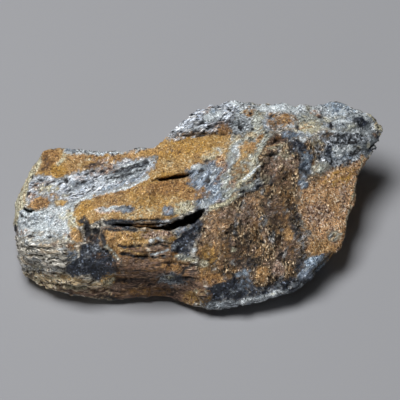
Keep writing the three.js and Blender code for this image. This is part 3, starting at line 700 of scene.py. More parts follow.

# The near-black spots in this group are painted shade in the hollows of the velvet face and under its
# front.
CENTRE = (
    *spots((PALE, 235, 152, 4.5, 12, -20, 0.7)),
    Streak(PALE, ((228, 166), (240, 154), (262, 134)), 2.0, 0.5),
    *spots((EMBER, 249, 147, 10, 7, 40, 0.9, 0.8), (OCHRE, 246, 152, 9, 8, 40, 0.5, 0.8),
           (EMBER, 260, 138, 5, 3, 40, 0.9), (OCHRE, 243, 166, 9, 10, 30, 0.6, 0.8)),
    Streak(SLATE, ((196, 178), (206, 169), (218, 165)), 2.0, 0.6),
    Streak(MAUVE, ((209, 197), (216, 182), (227, 166)), 2.0, 0.5),
    Streak(NAVY, ((204, 183), (210, 174), (220, 169)), 1.1, 0.6),
    Streak(PALE, ((204, 199), (216, 194), (230, 189)), 1.6, 0.7),
    *spots((RUST, 236, 177, 9, 7, 30, 0.55, 0.8), (CREAM, 212, 153, 12, 5.5, 22, 0.95),
           (FROST, 220, 151, 7, 4, 22, 0.4, 0.8), (ORANGE, 221, 161, 6, 6, 0, 0.75),
           (GREEN, 226, 178, 6, 4, 20, 0.7), (SLATE, 226.5, 177, 5, 3.4, 20, 0.5, 0.8),
           (SLATE, 215, 173, 4, 3, 20, 0.5, 0.8), (PALE, 193, 130, 6, 2.4, 25, 0.6, 0.8),
           (MAUVE, 231, 184, 6, 4, 20, 0.5), (AQUA, 214, 189, 6, 4, 20, 0.7),
           (PALE, 198, 167, 8, 3, 10, 0.7), (RUST, 205, 192, 6, 5, 0, 0.5)),
    Streak(CREAM, ((212, 208), (226, 203), (236, 196)), 2.6, 0.95),
    Streak(CREAM, ((238, 186), (249, 176), (261, 164)), 2.2),
    Streak(PALE, ((244, 180), (250, 174.5), (259, 166)), 1.3, 0.8),
    Streak(SLATE, ((238, 193), (250, 187), (260, 182)), 3.6, 0.8),
    *spots((CREAM, 265.5, 180, 5, 4, 20, 0.7, 0.8)),
    Streak(GREEN, ((232, 196), (242, 191), (252, 184)), 2.4, 0.7),
    *spots((NAVY, 257, 188, 6, 2.4, 20, 0.9), (ORANGE, 220, 221, 16, 12, 20, 0.5),
           (MAUVE, 228, 214, 10, 6, 20, 0.4), (GOLD, 192, 146, 34, 13, 8, 0.65, 0.8),
           (RUST, 196, 134, 26, 3, 2, 0.5, 0.8), (SLATE, 172, 134, 5, 3, 20, 0.5, 0.8),
           (UMBER, 160, 261.5, 10, 3.2, 0, 0.85, 0.8), (NAVY, 245, 299, 5, 3, 0, 0.5, 0.8),
           (ORANGE, 213, 238, 13, 14, 0, 0.45, 0.8), (GOLD, 210, 258, 10, 14, 0, 0.45, 0.8),
           (VOID, 231, 232, 7, 9, 0, 0.4, 0.9), (UMBER, 238, 254, 12, 12, 0, 0.5, 0.9),
           (VOID, 250, 263, 12, 6, 10, 0.75, 0.8), (VOID, 284, 254, 8, 6, 0, 0.55, 0.9),
           (ORANGE, 255, 201, 11, 8, 10, 0.7, 0.8), (RUST, 222, 252, 8, 14, 0, 0.5, 0.9),
           (MAUVE, 248, 214, 7, 15, -5, 0.5, 0.9), (VOID, 266, 206, 6, 14, 0, 0.4, 0.9),
           (RUST, 283, 205, 9, 22, -6, 0.5, 0.9), (NAVY, 300, 262, 7, 10, 0, 0.55, 0.9),
           (MAUVE, 280, 164, 17, 9, 10, 0.6, 0.9), (CREAM, 286, 155, 9, 5, 0, 0.45, 0.9),
           (UMBER, 276, 180, 14, 9, 0, 0.5, 0.9), (VELVET, 292, 248, 10, 14, 0, 0.75, 0.9),
           (UMBER, 274, 212, 12, 16, 0, 0.55), (SLATE, 263, 223, 5, 10, 0, 0.45),
           (NAVY, 296, 226, 7, 15, 0, 0.45), (BLACK, 301, 247, 7, 14, -8, 0.5, 0.9),
           (EMBER, 288.5, 235, 5, 8, 10, 0.9), (VELVET, 309, 235, 6, 8, 0, 0.65, 0.8),
           (RUST, 292, 247, 8, 7, 0, 0.5, 0.8), (EMBER, 261.5, 274, 7, 8, 0, 0.9),
           (MAUVE, 278, 268, 6, 9, 0, 0.85), (VELVET, 269, 262, 5, 6, 0, 0.8),
           (UMBER, 268, 263, 5, 4, 0, 0.7, 0.8), (UMBER, 293, 256, 8, 5, 0, 0.6, 0.8),
           (UMBER, 291, 245, 8, 7, 0, 0.4, 0.8), (UMBER, 192, 300, 7, 4, 0, 0.35, 0.8),
           (UMBER, 135, 262, 10, 5, 0, 0.35, 0.8), (NAVY, 185, 240, 7, 8, 20, 0.5, 0.8),
           (CREAM, 204, 263, 5.5, 4, 0, 0.85), (CREAM, 234, 250, 3, 3, 0, 0.85),
           (RUST, 212, 278, 17, 7, -5, 0.85), (UMBER, 206, 292, 9, 10, 0, 0.5),
           (MAUVE, 318, 214, 14, 12, 20, 0.6), (MAUVE, 346, 200, 7, 20, 10, 0.5),
           (GOLD, 338, 178, 20, 8, 15, 0.5), (EMBER, 322, 248, 15, 8, 8, 0.9),
           (GREEN, 335, 236, 8, 5, 0, 0.8), (FROST, 240, 193, 4, 3, 20, 0.4, 0.8)),
    # The orange and cream streaks along the right rim are painted light where the rim turns from the
    # lamp, over its thin pale rim line.
    Streak(ORANGE, ((362, 158), (357, 176), (352, 196), (347, 216), (344, 236)), 3.4, 0.8),
    Streak(CREAM, ((363, 156), (358.5, 176), (353.5, 196), (348.5, 216), (345.5, 236)), 1.3, 0.7),
    Area(AQUA, ((304, 262), (312, 256), (325, 255), (322, 264), (314, 270), (306, 268))),
    Area(BLUE, ((297, 276), (304, 267), (314, 268), (311, 278), (302, 282)), 0.95),
    *spots((NAVY, 300, 268, 6, 4, 40, 0.7)),
    Area(NAVY, ((210, 290), (216, 284), (230, 281), (241, 284), (246, 292), (240, 299), (214, 300))),
    *spots((BLUE, 245, 282, 7, 10, 0, 0.6), (AQUA, 242, 273, 8, 3, 10, 0.8),
           (NAVY, 284, 285, 16, 6, 22, 0.85, 0.6), (VOID, 293, 287, 7, 3.4, 20, 0.65, 0.8)),
    Streak(SLATE, ((210, 306), (240, 304), (262, 301), (284, 295), (300, 287)), 4.0, 0.95),
    Streak(FROST, ((244, 303), (262, 299), (280, 293.5)), 4.4, 0.9),
    Streak(PALE, ((252, 301), (262, 298.5), (272, 296)), 1.8, 0.8),
    *spots((NAVY, 294, 288, 6, 3.4, 25, 0.85, 0.6)),
)

# Pits painted near-black as their shade: column, row, half length and half width in pixels.
PORE_SHADOWS = (
    (66, 181, 2.4, 1.9), (60, 184, 2.2, 1.1), (84, 182, 3, 1.3), (86, 173.5, 3.8, 1.2), (47, 185, 2.2, 1),
    (35, 185, 2.2, 1), (55, 192, 2, 1), (97, 177, 3.8, 1), (93, 171, 3, 1), (77, 184, 2.2, 1),
    (102, 171, 3, 1.1), (70, 190, 1.8, 1), (115, 171, 3, 1), (122, 168, 3.8, 1), (132, 166, 4.5, 1.1),
    (144, 161, 3, 1), (110, 178, 3, 1), (89, 188, 2.2, 1), (42, 180, 2.2, 1), (101, 165, 2.2, 1),
    (32.5, 210, 1.5, 1.1), (15.5, 229, 2.6, 6.1), (25.6, 217.5, 1.4, 1.8), (56.6, 221, 1.1, 1.5),
    (22, 216, 1, 1.5), (49, 236.5, 3, 1.5), (31, 236.5, 5, 1.6), (33, 177, 1.2, 1.3), (27, 194, 1.2, 2.2),
    (88, 229, 4, 10.8), (103, 239, 2.6, 6.8), (97, 231, 5, 4.1), (81, 220, 3, 2.7), (84, 217, 2, 2.2),
    (230, 110, 3, 1.8), (241, 127, 1.8, 2.4), (236, 133.5, 1.6, 1.6), (250, 114, 1.6, 1.8),
    (214, 121, 4, 1.2), (209, 128, 6, 1.6), (222, 119, 4, 1.5), (200, 123, 5, 1.5), (203, 135, 7, 1.5),
    (195, 131, 5, 1.5), (252, 130, 2, 1.5), (267, 132, 2.5, 1.5), (321, 115, 2.2, 2.4),
    (326, 133, 2, 1.6),
    (331, 126, 2.6, 4.1), (200.5, 171, 3, 2.2), (206, 160.5, 3, 1.5), (271, 154.5, 6.5, 1.8),
    (208, 181, 3, 2.7), (297, 128, 2, 2.7), (272, 116, 1.6, 1.5), (243, 191, 3, 1.6), (199, 227, 2, 5.4),
    (352, 142, 4, 2.2),
)

PORE_TURN = 12
DETAIL = LEFT_END + SLAB + BACK + CENTRE + spots(*((VOID, *pore, PORE_TURN) for pore in PORE_SHADOWS))

CRACKS = (
    Crack(((104, 228), (120, 229.5), (136, 229)), 1.8, 0.8),
    Crack(((134, 221), (146, 219.8), (160, 220.5)), 1.8, 0.9),
    Crack(((152, 181), (172, 178), (193, 174)), 2.4, 1.2),
    Crack(((118, 246), (130, 246.5), (142, 245)), 2.4, 1.3),
    Crack(((118, 253), (134, 256), (149, 258)), 2.4, 1.3),
    Crack(((148, 246), (160, 243), (172, 244)), 2.0, 1.0),
    Crack(((166, 263), (178, 263), (196, 267)), 2.2, 0.8),
    Crack(((124, 173), (136, 168), (150, 160)), 2.0, 1.0),
    Crack(((86, 171), (100, 172), (114, 168)), 1.8, 0.8),
    Crack(((170, 138), (192, 134), (226, 133)), 2.6, 1.6),
    Crack(((182, 131), (200, 124), (222, 119)), 2.0, 1.3),
    Crack(((188, 124), (206, 120.5), (228, 117)), 2.0, 1.2),
    Crack(((240, 122), (241, 130)), 3.4, 1.6),
    Crack(((264, 114), (270, 117), (275, 114)), 1.8, 1.0),
    Crack(((265, 154), (278, 153)), 2.6, 1.6),
    Crack(((272, 143), (284, 137)), 2.4, 1.4),
    Crack(((318, 116), (324, 114)), 2.6, 1.6),
    Crack(((370, 149), (377, 143)), 2.2, 1.4),
    Crack(((234, 182), (242, 178), (256, 162)), 1.8, 0.8),
    Crack(((205, 160), (216, 157)), 1.8, 0.9),
    Crack(((256, 190), (261, 186)), 2.2, 1.1),
    Crack(((20, 246), (44, 249), (62, 247)), 1.8, 0.8),
    Crack(((20, 257), (40, 256), (60, 260)), 1.8, 0.9),
    Crack(((24, 271), (44, 271.5), (60, 275)), 2.0, 1.0),
    Crack(((40, 282), (66, 285), (96, 291)), 2.2, 1.1),
    Crack(((60, 291), (84, 297)), 2.0, 1.0),
    Crack(((160, 277), (180, 278), (198, 279)), 2.0, 1.0),
    Crack(((20, 281), (42, 290)), 12, 2.4),
    Crack(((36, 151), (34, 162), (30, 172)), 8, -1.3),
    Crack(((386, 134), (385, 141), (378, 148)), 9, -1.9),
    Crack(((316, 272), (325, 263), (333, 256)), 7, 1.6),
    Crack(((244, 304), (262, 301), (276, 297)), 7, -0.8),
    Crack(((20, 212.5), (29, 214.5), (37, 212.5)), 4, -1.0),
    Crack(((24, 224), (32, 219.5), (44, 222), (52, 216), (64, 212)), 1.3, 0.55),
    Crack(((20, 228), (34, 226), (50, 227), (62, 222)), 1.1, 0.5),
    Crack(((30, 216), (42, 214.5), (56, 210)), 1.1, 0.5),
    Crack(((38, 233.5), (50, 231.5)), 1.4, 0.8),
    Crack(((238, 186), (249, 176), (261, 164)), 3.0, -0.7),
    Crack(((212, 208), (226, 203), (236, 196)), 3.4, -0.5),
)

# The near-black flecks are painted shade in small pits.
FLECKS = {
    OCHRE: ((RUST, 6.0, 0.2, 0.5), (CREAM, 3.0, 0.55, 0.35), (GOLD, 8.0, 0.1, 0.6)),
    RUST: ((EMBER, 3.4, 0.2, 0.6), (UMBER, 2.2, 0.35, 0.6)),
    SILVER: ((VOID, 1.1, 0.62, 0.8), (SLATE, 2.0, 0.42, 0.6), (MAUVE, 2.6, 0.5, 0.4)),
    STRATA: ((OCHRE, 2.4, 0.4, 0.4), (SLATE, 1.4, 0.3, 0.7)),
    VELVET: ((RUST, 3.4, 0.35, 0.45), (VOID, 2.4, 0.3, 0.6), (SLATE, 3.4, 0.42, 0.6),
             (MAUVE, 4.4, 0.4, 0.45)),
    BLACK: ((PALE, 1.6, 0.5, 0.8), (VOID, 1.8, 0.5, 0.7)),
    ORANGE: ((MAUVE, 2.6, 0.4, 0.55), (RUST, 4.5, 0.3, 0.5)),
    GREEN: ((CREAM, 2.2, 0.3, 0.7), (SLATE, 1.5, 0.35, 0.7), (OCHRE, 3.0, 0.4, 0.6)),
    PALE: ((SLATE, 1.2, 0.56, 0.8), (BLUE, 3.0, 0.35, 0.45)),
    NAVY: ((SLATE, 2.0, 0.55, 0.5),),
    SHARD: ((VOID, 0.8, 0.62, 0.8),),
    FROST: ((SLATE, 2.4, 0.3, 0.7), (CREAM, 3.4, 0.4, 0.6), (BLUE, 5.0, 0.2, 0.6),
            (VOID, 1.2, 0.66, 0.8)),
    BLUE: ((PALE, 1.8, 0.5, 0.6), (NAVY, 1.4, 0.42, 0.6), (MAUVE, 2.6, 0.45, 0.5)),
    UMBER: ((RUST, 2.0, 0.45, 0.5), (VOID, 1.6, 0.5, 0.5)),
    LEDGE: ((CREAM, 1.4, 0.4, 0.7), (UMBER, 1.6, 0.25, 0.7)),
    SLATE: ((NAVY, 1.3, 0.4, 0.6),),
    CREAM: ((RUST, 2.2, 0.45, 0.5),),
}


@dataclass
class Skin:
    """The stone's fine surface, with what each of its points is made of.

    Voxel is in metres. Wander, hidden_warp and crack_wobble are in pixels: how far edges stray, how far
    the markings bend where the camera doesn't see them, and how far cracks stray. Sizes and heights are
    in millimetres, and a span says where something begins and where it is whole. What is added to
    coordinates before the noise only keeps its patterns apart.
    """

    view: PhotoView
    voxel: float = 0.00066
    smoothing: int = 3
    softening: float = 0.5
    seed: int = 7
    seen: Span = (-0.15, 0.1)
    wander: float = 1.2
    wander_size: float = 2.4
    hidden_warp: float = 24.0
    hidden_size: float = 22.0
    fray: float = 0.55
    fray_size: float = 0.95
    edge: Span = (0.12, 0.88)
    fleck_edge: float = 0.25
    fleck_shift: int = 31
    lump_size: float = 4.4
    knob_size: float = 2.0
    grit_size: float = 0.8
    fibre_size: float = 1.45
    pit_size: float = 1.5
    pit_level: Span = (0.3, 0.7)
    bed_height: float = 2.6
    bed_slope: float = 0.03
    bed_sway: float = 0.9
    bed_sway_size: float = 9.0
    crack_wobble: float = 1.2
    crack_wobble_size: float = 3.0
    underside: Span = (0.8, 0.95)
    contact: Span = (0.2, 1.0)
    hollow_shade_depth: Span = (0.15, 1.3)
    patch_size: float = 2.6
    painted_crest_highlight: float = 0.1
    crest_height: Span = (0.1, 0.9)
    points: np.ndarray = field(init=False)
    normals: np.ndarray = field(init=False)
    weights: np.ndarray = field(init=False)
    facing: np.ndarray = field(init=False)
    flow: np.ndarray = field(init=False)
    run: np.ndarray = field(init=False)
    painted_hollow_shade: np.ndarray = field(init=False)
    tone: np.ndarray = field(init=False)
    at: np.ndarray = field(init=False)

    def build(self) -> bpy.types.Object:
        """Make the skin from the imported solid.

        Returns:
            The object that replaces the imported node.
        """
        piece = self.remesh()
        self.read(piece.data)
        self.lay_minerals()
        self.raise_relief()
        self.write(piece.data)
        return piece

    def remesh(self) -> bpy.types.Object:
        """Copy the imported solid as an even, closed, fine mesh.

        Returns:
            The new object, linked to the scene.
        """
        source = add_object("stone_source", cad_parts[NODE].data.copy())
        weld = source.modifiers.new("weld", "WELD")
        weld.merge_threshold = SHORT
        even = source.modifiers.new("even", "REMESH")
        even.mode = "VOXEL"
        even.voxel_size = self.voxel
        soft = source.modifiers.new("soft", "SMOOTH")
        soft.iterations = self.smoothing
        soft.factor = self.softening
        return add_object("stone_skin", finished_mesh(source))

    def read(self, mesh: bpy.types.Mesh) -> None:
        """Take points and normals out of a mesh."""
        count = len(mesh.vertices)
        self.points, self.normals = np.zeros(count * 3), np.zeros(count * 3)
        mesh.vertices.foreach_get("co", self.points)
        mesh.vertex_normals.foreach_get("vector", self.normals)
        self.points = self.points.reshape(-1, 3)
        self.normals = self.normals.reshape(-1, 3)
        self.facing = ramp(self.normals @ self.view.towards, *self.seen)

    def lay_minerals(self) -> None:
        """Work out how much of each mineral every point has."""
        noise, spot = Noise(self.seed), self.points / MM
        ragged = [noise.layered(spot / self.wander_size + shift, 3) for shift in (0, 50)]
        broad = [noise.layered(spot / self.hidden_size + shift, 2) for shift in (90, 130)]
        self.at = self.view.pixels(self.points)
        hidden = (self.hidden_warp * (1 - self.facing))[:, None]
        warped = self.at + np.stack(ragged, axis=1) * self.wander + np.stack(broad, axis=1) * hidden
        self.weights = np.zeros((len(self.points), len(MINERALS)))
        self.weights[:, COLUMN[STRATA]] = 1
        grains = [noise.layered(spot / self.fray_size + shift, 2) for shift in (210, 250, 290, 330)]
        for number, patch in enumerate(GROUND + DETAIL):
            here = np.flatnonzero(patch.near(warped))
            cover = patch.cover(warped[here])
            cover = cover + self.fray * 4 * cover * (1 - cover) * grains[number % len(grains)][here]
            cover = ramp(cover, *self.edge)
            self.weights[here] *= 1 - cover[:, None]
            self.weights[here, COLUMN[patch.mineral]] += cover
        self.lay_fibres(spot)
        self.scatter_flecks(noise)

    def lay_fibres(self, spot: np.ndarray) -> None:
        """Work out which way the fibres run at every point, and the coordinates that follow them."""
        shares = [self.share_of(mineral for mineral in MINERALS if mineral.value.lay is lay)
                  for lay in LAYS]
        chosen = np.argmax(shares, axis=0)
        self.flow, self.run = np.zeros_like(spot), np.zeros_like(spot)
        for number, lay in enumerate(LAYS):
            here = chosen == number
            self.flow[here] = lay.flow(spot[here])
            self.run[here] = lay.run(self.normals[here])

    def share_of(self, minerals: Iterable[Mineral]) -> np.ndarray:
        """Add up how much of several minerals every point has."""
        return self.weights[:, [COLUMN[mineral] for mineral in minerals]].sum(axis=1)

    def scatter_flecks(self, noise: Noise) -> None:
        """Let small flecks of one mineral lie in another."""
        rows = [(host, *guest) for host, guests in FLECKS.items() for guest in guests]
        for row, (host, guest, size, level, strength) in enumerate(rows):
            pattern = noise.layered(self.flow / size + self.fleck_shift * row, 2)
            share = strength * ramp(pattern, level, level + self.fleck_edge)
            moved = self.weights[:, COLUMN[host]] * share
            self.weights[:, COLUMN[host]] -= moved
            self.weights[:, COLUMN[guest]] += moved

    def blend(self, name: str) -> np.ndarray:
        """Mix one number of all finishes by how much of each mineral a point has."""
        return self.weights @ np.array([getattr(mineral.value, name) for mineral in MINERALS])

    def shade(self, name: str) -> np.ndarray:
        """Mix one shade of all finishes by how much of each mineral a point has."""
        return self.weights @ np.array([linear(getattr(mineral.value, name)) for mineral in MINERALS])

    def raise_relief(self) -> None:
        """Move the points by each mineral's own relief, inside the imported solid's box."""
        noise, spot = Noise(self.seed + 1), self.points / MM
        sway = self.bed_sway * noise.layered(spot / self.bed_sway_size, 2)
        bed = (spot @ self.view.up + self.bed_slope * spot[:, 0] + sway) / self.bed_height
        shelf = bed - np.floor(bed)
        pit = ramp(noise.layered(self.flow / self.pit_size + 70, 2), *self.pit_level)
        height = self.blend("lumps") * noise.layered(spot / self.lump_size, 2)
        height += self.blend("knobs") * noise.layered(spot / self.knob_size + 20, 2)
        height += self.blend("grit") * noise.smooth(spot / self.grit_size + 30)
        height += self.blend("fibres") * noise.ridged(self.flow / self.fibre_size + 50)
        height += self.blend("beds") * (shelf - 0.5)
        height -= self.blend("pits") * pit
        stray = [noise.smooth(spot / self.crack_wobble_size + shift) for shift in (5, 15)]
        wobble = self.at + self.crack_wobble * np.stack(stray, axis=1)
        for crack in CRACKS:
            height -= crack.sink(wobble) * self.facing
        resting = ramp(-self.normals[:, 2], *self.underside) * (1 - ramp(spot[:, 2], *self.contact))
        height *= 1 - resting
        # Painted shade: points sunk below the surface get darker, the deeper the darker.
        self.painted_hollow_shade = ramp(-height, *self.hollow_shade_depth)
        patchy = noise.layered(self.flow / self.patch_size + 110, 3)
        # Painted highlight: raised points get lighter, the higher the lighter; the tone carries it with
        # random mottle.
        crest_highlight = self.painted_crest_highlight * ramp(height, *self.crest_height)
        self.tone = 0.5 + self.blend("mottle") * patchy + crest_highlight
        self.points = self.points + self.normals * (height * MM)[:, None]
        self.points = np.clip(self.points, *np.array(CAD_BOX))

    def write(self, mesh: bpy.types.Mesh) -> None:
        """Put points and looks back on the mesh."""
        mesh.vertices.foreach_set("co", self.points.ravel())
        for name in ("ground", "second", "speck", "spark"):
            layer = mesh.attributes.new(name, "FLOAT_COLOR", "POINT")
            colour = np.concatenate((self.shade(name), np.ones((len(self.points), 1))), axis=1)
            layer.data.foreach_set("color", colour.ravel())
        for name in ("flow", "run"):
            layer = mesh.attributes.new(name, "FLOAT_VECTOR", "POINT")
            layer.data.foreach_set("vector", getattr(self, name).ravel())
        numbers = {name: self.blend(name) for name in ("specks", "sparks", "roughness", "gloss")}
        numbers |= {"painted_hollow_shade": self.painted_hollow_shade, "tone": self.tone}
        for name, values in numbers.items():
            mesh.attributes.new(name, "FLOAT", "POINT").data.foreach_set("value", values)
        mesh.polygons.foreach_set("use_smooth", np.ones(len(mesh.polygons), bool))
        mesh.update()


@dataclass
class Sliver(Skin):
    """A sliver of rock across the crevice, along a line of pixels, coloured as the skin is.

    Depth is its distance from the camera's aim, towards the camera, in millimetres. Half_height is in
    pixels, and bluntness and tip say how late and how far the ends narrow.
    """

    path: tuple[Point, ...] = ((133, 225.0), (143, 225.6), (153, 225.4), (166, 224.2))
    half_height: float = 2.0
    depth: float = 26.8
    thickness: float = 5.0
    bluntness: int = 4
    tip: float = 0.001
    stations: int = 60
    sides: int = 18

    def remesh(self) -> bpy.types.Object:
        """Make the bare form, a closed rounded bar with thin ends.

        Returns:
            The new object, linked to the scene.
        """
        share = np.linspace(0, 1, self.stations)
        corners = np.array(self.path)
        across = np.interp(share, np.linspace(0, 1, len(corners)), corners[:, 0])
        down = np.interp(share, np.linspace(0, 1, len(corners)), corners[:, 1])
        size = np.sqrt(np.maximum(1 - (2 * share - 1) ** self.bluntness, self.tip))
        angles = np.linspace(0, 2 * math.pi, self.sides, endpoint=False)
        rows = down[:, None] - self.half_height * size[:, None] * np.cos(angles)
        depths = self.depth + self.thickness / 2 * size[:, None] * np.sin(angles)
        columns = np.repeat(across[:, None], self.sides, axis=1)
        points = self.view.place(columns.ravel(), rows.ravel(), depths.ravel() * MM)
        faces = []
        for station in range(self.stations - 1):
            for side in range(self.sides):
                start, other = station * self.sides, (side + 1) % self.sides
                after = start + self.sides
                faces.append((start + side, start + other, after + other, after + side))
        faces.append(tuple(reversed(range(self.sides))))
        faces.append(tuple(range(len(points) - self.sides, len(points))))
        mesh = bpy.data.meshes.new("stone_sliver")
        mesh.from_pydata(points.tolist(), [], faces)
        return add_object("stone_sliver", mesh)


@dataclass(frozen=True)
class Value:
    """A node's output that takes part in Python sums."""

    graph: "Graph"
    socket: bpy.types.NodeSocket

    def __add__(self, other: "Value | float") -> "Value":
        """Add."""
        return self.graph.maths("ADD", self, other)

    def __sub__(self, other: "Value | float") -> "Value":
        """Subtract."""
        return self.graph.maths("SUBTRACT", self, other)

    def __rsub__(self, other: float) -> "Value":
        """Subtract this from a number."""
        return self.graph.maths("SUBTRACT", other, self)

    def __mul__(self, other: "Value | float") -> "Value":
        """Multiply."""
        return self.graph.maths("MULTIPLY", self, other)

    __radd__ = __add__
    __rmul__ = __mul__

    def clamped(self) -> "Value":
        """Keep between 0 and 1."""
        return self.graph.maths("ADD", self, 0.0, use_clamp=True)


class Graph:
    """A node tree with one way to add a node."""

    def __init__(self, tree: bpy.types.NodeTree) -> None:
        """Work on a tree.

        Args:
            tree: The tree that gets the nodes.
        """
        self.tree = tree

    def node(self, kind: str, settings: dict[str, Any], inputs: dict[Any, Any]) -> bpy.types.Node:
        """Add a node.

        Args:
            kind: The node's type.
            settings: Its own settings, set first.
            inputs: Numbers or links by socket name or place.

        Returns:
            The node.
        """
        made = self.tree.nodes.new(kind)
        for name, value in settings.items():
            setattr(made, name, value)
        for key, value in inputs.items():
            if isinstance(value, Value):
                self.tree.links.new(value.socket, made.inputs[key])
            else:
                made.inputs[key].default_value = value
        return made

    def out(self, made: bpy.types.Node, key: Any = 0) -> Value:
        """Give one output of a node."""
        return Value(self, made.outputs[key])

    def maths(self, operation: str, first: Any, second: Any, **settings: Any) -> Value:
        """Add a Math node."""
        made = self.node("ShaderNodeMath", {"operation": operation, **settings}, {0: first, 1: second})
        return self.out(made)


class SkinShader(Graph):
    """The stone's material: grain, specks and sparks in the shades that the mesh carries, darkened by
    painted shade in hollows and lightened by a painted highlight on crests.

    BROAD is in lumps to a metre, and the other four scales in lumps to a millimetre of the flow.
    An edge says how sharply a marking ends, and a level at which height of the noise it starts.
    """

    BROAD = 120.0
    MIDDLE, FINE, SPARKLE, DUST = 0.5, 0.9, 1.05, 2.6
    SECOND_LEVEL, SECOND_EDGE = 0.42, 5
    SPECK_EDGE, SPARK_EDGE = 14, 18
    RAREST_LEVEL, LEVEL_DROP = 0.66, 0.34
    DUST_GAIN, DUST_LOSS, DUST_LEAST = 4.4, 1.2, 0.15
    TONE_GAIN, TONE_LEAST = 1.4, 0.3
    BROAD_GAIN, BROAD_LEAST = 0.44, 0.78
    HOLLOW_SHADE = 0.7
    FINE_RELIEF, MIDDLE_RELIEF, SPARKLE_RELIEF = 0.5, 0.8, 0.3
    BUMP_STRENGTH, BUMP_HEIGHT = 0.9, 0.0006
    ROUGHNESS_WANDER = 0.5
    COAT_ROUGHNESS, SPECULAR = 0.25, 0.45

    def __init__(self, name: str) -> None:
        """Make the material.

        Args:
            name: The material's name.
        """
        self.material = bpy.data.materials.new(name)
        self.material.use_nodes = True
        super().__init__(self.material.node_tree)
        self.tree.nodes.clear()
        self.place = self.out(self.node("ShaderNodeTexCoord", {}, {}), "Object")
        self.build()

    def carried(self, name: str, kind: str = "Fac") -> Value:
        """Read what the mesh carries: a number (Fac), a shade (Color) or coordinates (Vector)."""
        return self.out(self.node("ShaderNodeAttribute", {"attribute_name": name}, {}), kind)

    def noise(self, place: Value, scale: float, shift: float = 0.0) -> Value:
        """Add noise.

        Args:
            place: The coordinates.
            scale: Lumps to one of their units.
            shift: Where the pattern starts.

        Returns:
            The noise, around 0.5.
        """
        moved = self.node("ShaderNodeVectorMath", {"operation": "ADD"}, {
            0: place, 1: (shift, shift, shift)})
        made = self.node("ShaderNodeTexNoise", {}, {
            "Vector": self.out(moved), "Scale": scale, "Detail": 2.0, "Roughness": 0.6})
        return self.out(made, "Fac")

    def mix(self, share: Value, first: Any, second: Any, blend: str = "MIX") -> Value:
        """Mix two colours."""
        node = self.node("ShaderNodeMix", {"data_type": "RGBA", "blend_type": blend},
                         {0: share, 6: first, 7: second})
        return self.out(node, 2)

    def share(self, grain: Value, name: str, sharp: float) -> Value:
        """Turn grain into spots that take the share of the surface that the mesh says."""
        level = self.RAREST_LEVEL - self.carried(name) * self.LEVEL_DROP
        return ((grain - level) * sharp).clamped()

    def build(self) -> None:
        """Add and link the nodes."""
        flow = self.carried("flow", "Vector")
        broad = self.noise(self.place, self.BROAD)
        middle = self.noise(flow, self.MIDDLE)
        fine = self.noise(flow, self.FINE, 100.0)
        sparkle = self.noise(flow, self.SPARKLE, 200.0)
        dust = self.noise(flow, self.DUST, 300.0) * self.DUST_GAIN - self.DUST_LOSS
        turned = ((middle - self.SECOND_LEVEL) * self.SECOND_EDGE).clamped()
        ground = self.mix(turned, self.carried("ground", "Color"), self.carried("second", "Color"))
        specks = self.share(fine, "specks", self.SPECK_EDGE)
        specked = self.mix(specks, ground, self.carried("speck", "Color"))
        sparks = self.share(sparkle, "sparks", self.SPARK_EDGE)
        sparked = self.mix(sparks, specked, self.carried("spark", "Color"))
        # The light factor multiplies random tone, the painted crest highlight, painted shade in hollows
        # and fine dust.
        light = ((self.carried("tone") * self.TONE_GAIN + self.TONE_LEAST)
                 * (self.BROAD_LEAST + broad * self.BROAD_GAIN)
                 * (1 - self.carried("painted_hollow_shade") * self.HOLLOW_SHADE)
                 * self.maths("MAXIMUM", dust, self.DUST_LEAST))
        tint = self.node("ShaderNodeCombineColor", {}, {0: light, 1: light, 2: light})
        colour = self.mix(1.0, sparked, self.out(tint), "MULTIPLY")
        relief = fine * self.FINE_RELIEF + middle * self.MIDDLE_RELIEF + sparkle * self.SPARKLE_RELIEF
        bump = self.node("ShaderNodeBump", {}, {
            "Strength": self.BUMP_STRENGTH, "Distance": self.BUMP_HEIGHT, "Height": relief})
        rough = (self.carried("roughness") + (middle - 0.5) * self.ROUGHNESS_WANDER).clamped()
        shader = self.node("ShaderNodeBsdfPrincipled", {}, {
            "Base Color": colour, "Roughness": rough, "Coat Weight": self.carried("gloss"),
            "Coat Roughness": self.COAT_ROUGHNESS, "Specular IOR Level": self.SPECULAR,
            "Normal": self.out(bump)})
        self.node("ShaderNodeOutputMaterial", {}, {"Surface": self.out(shader)})


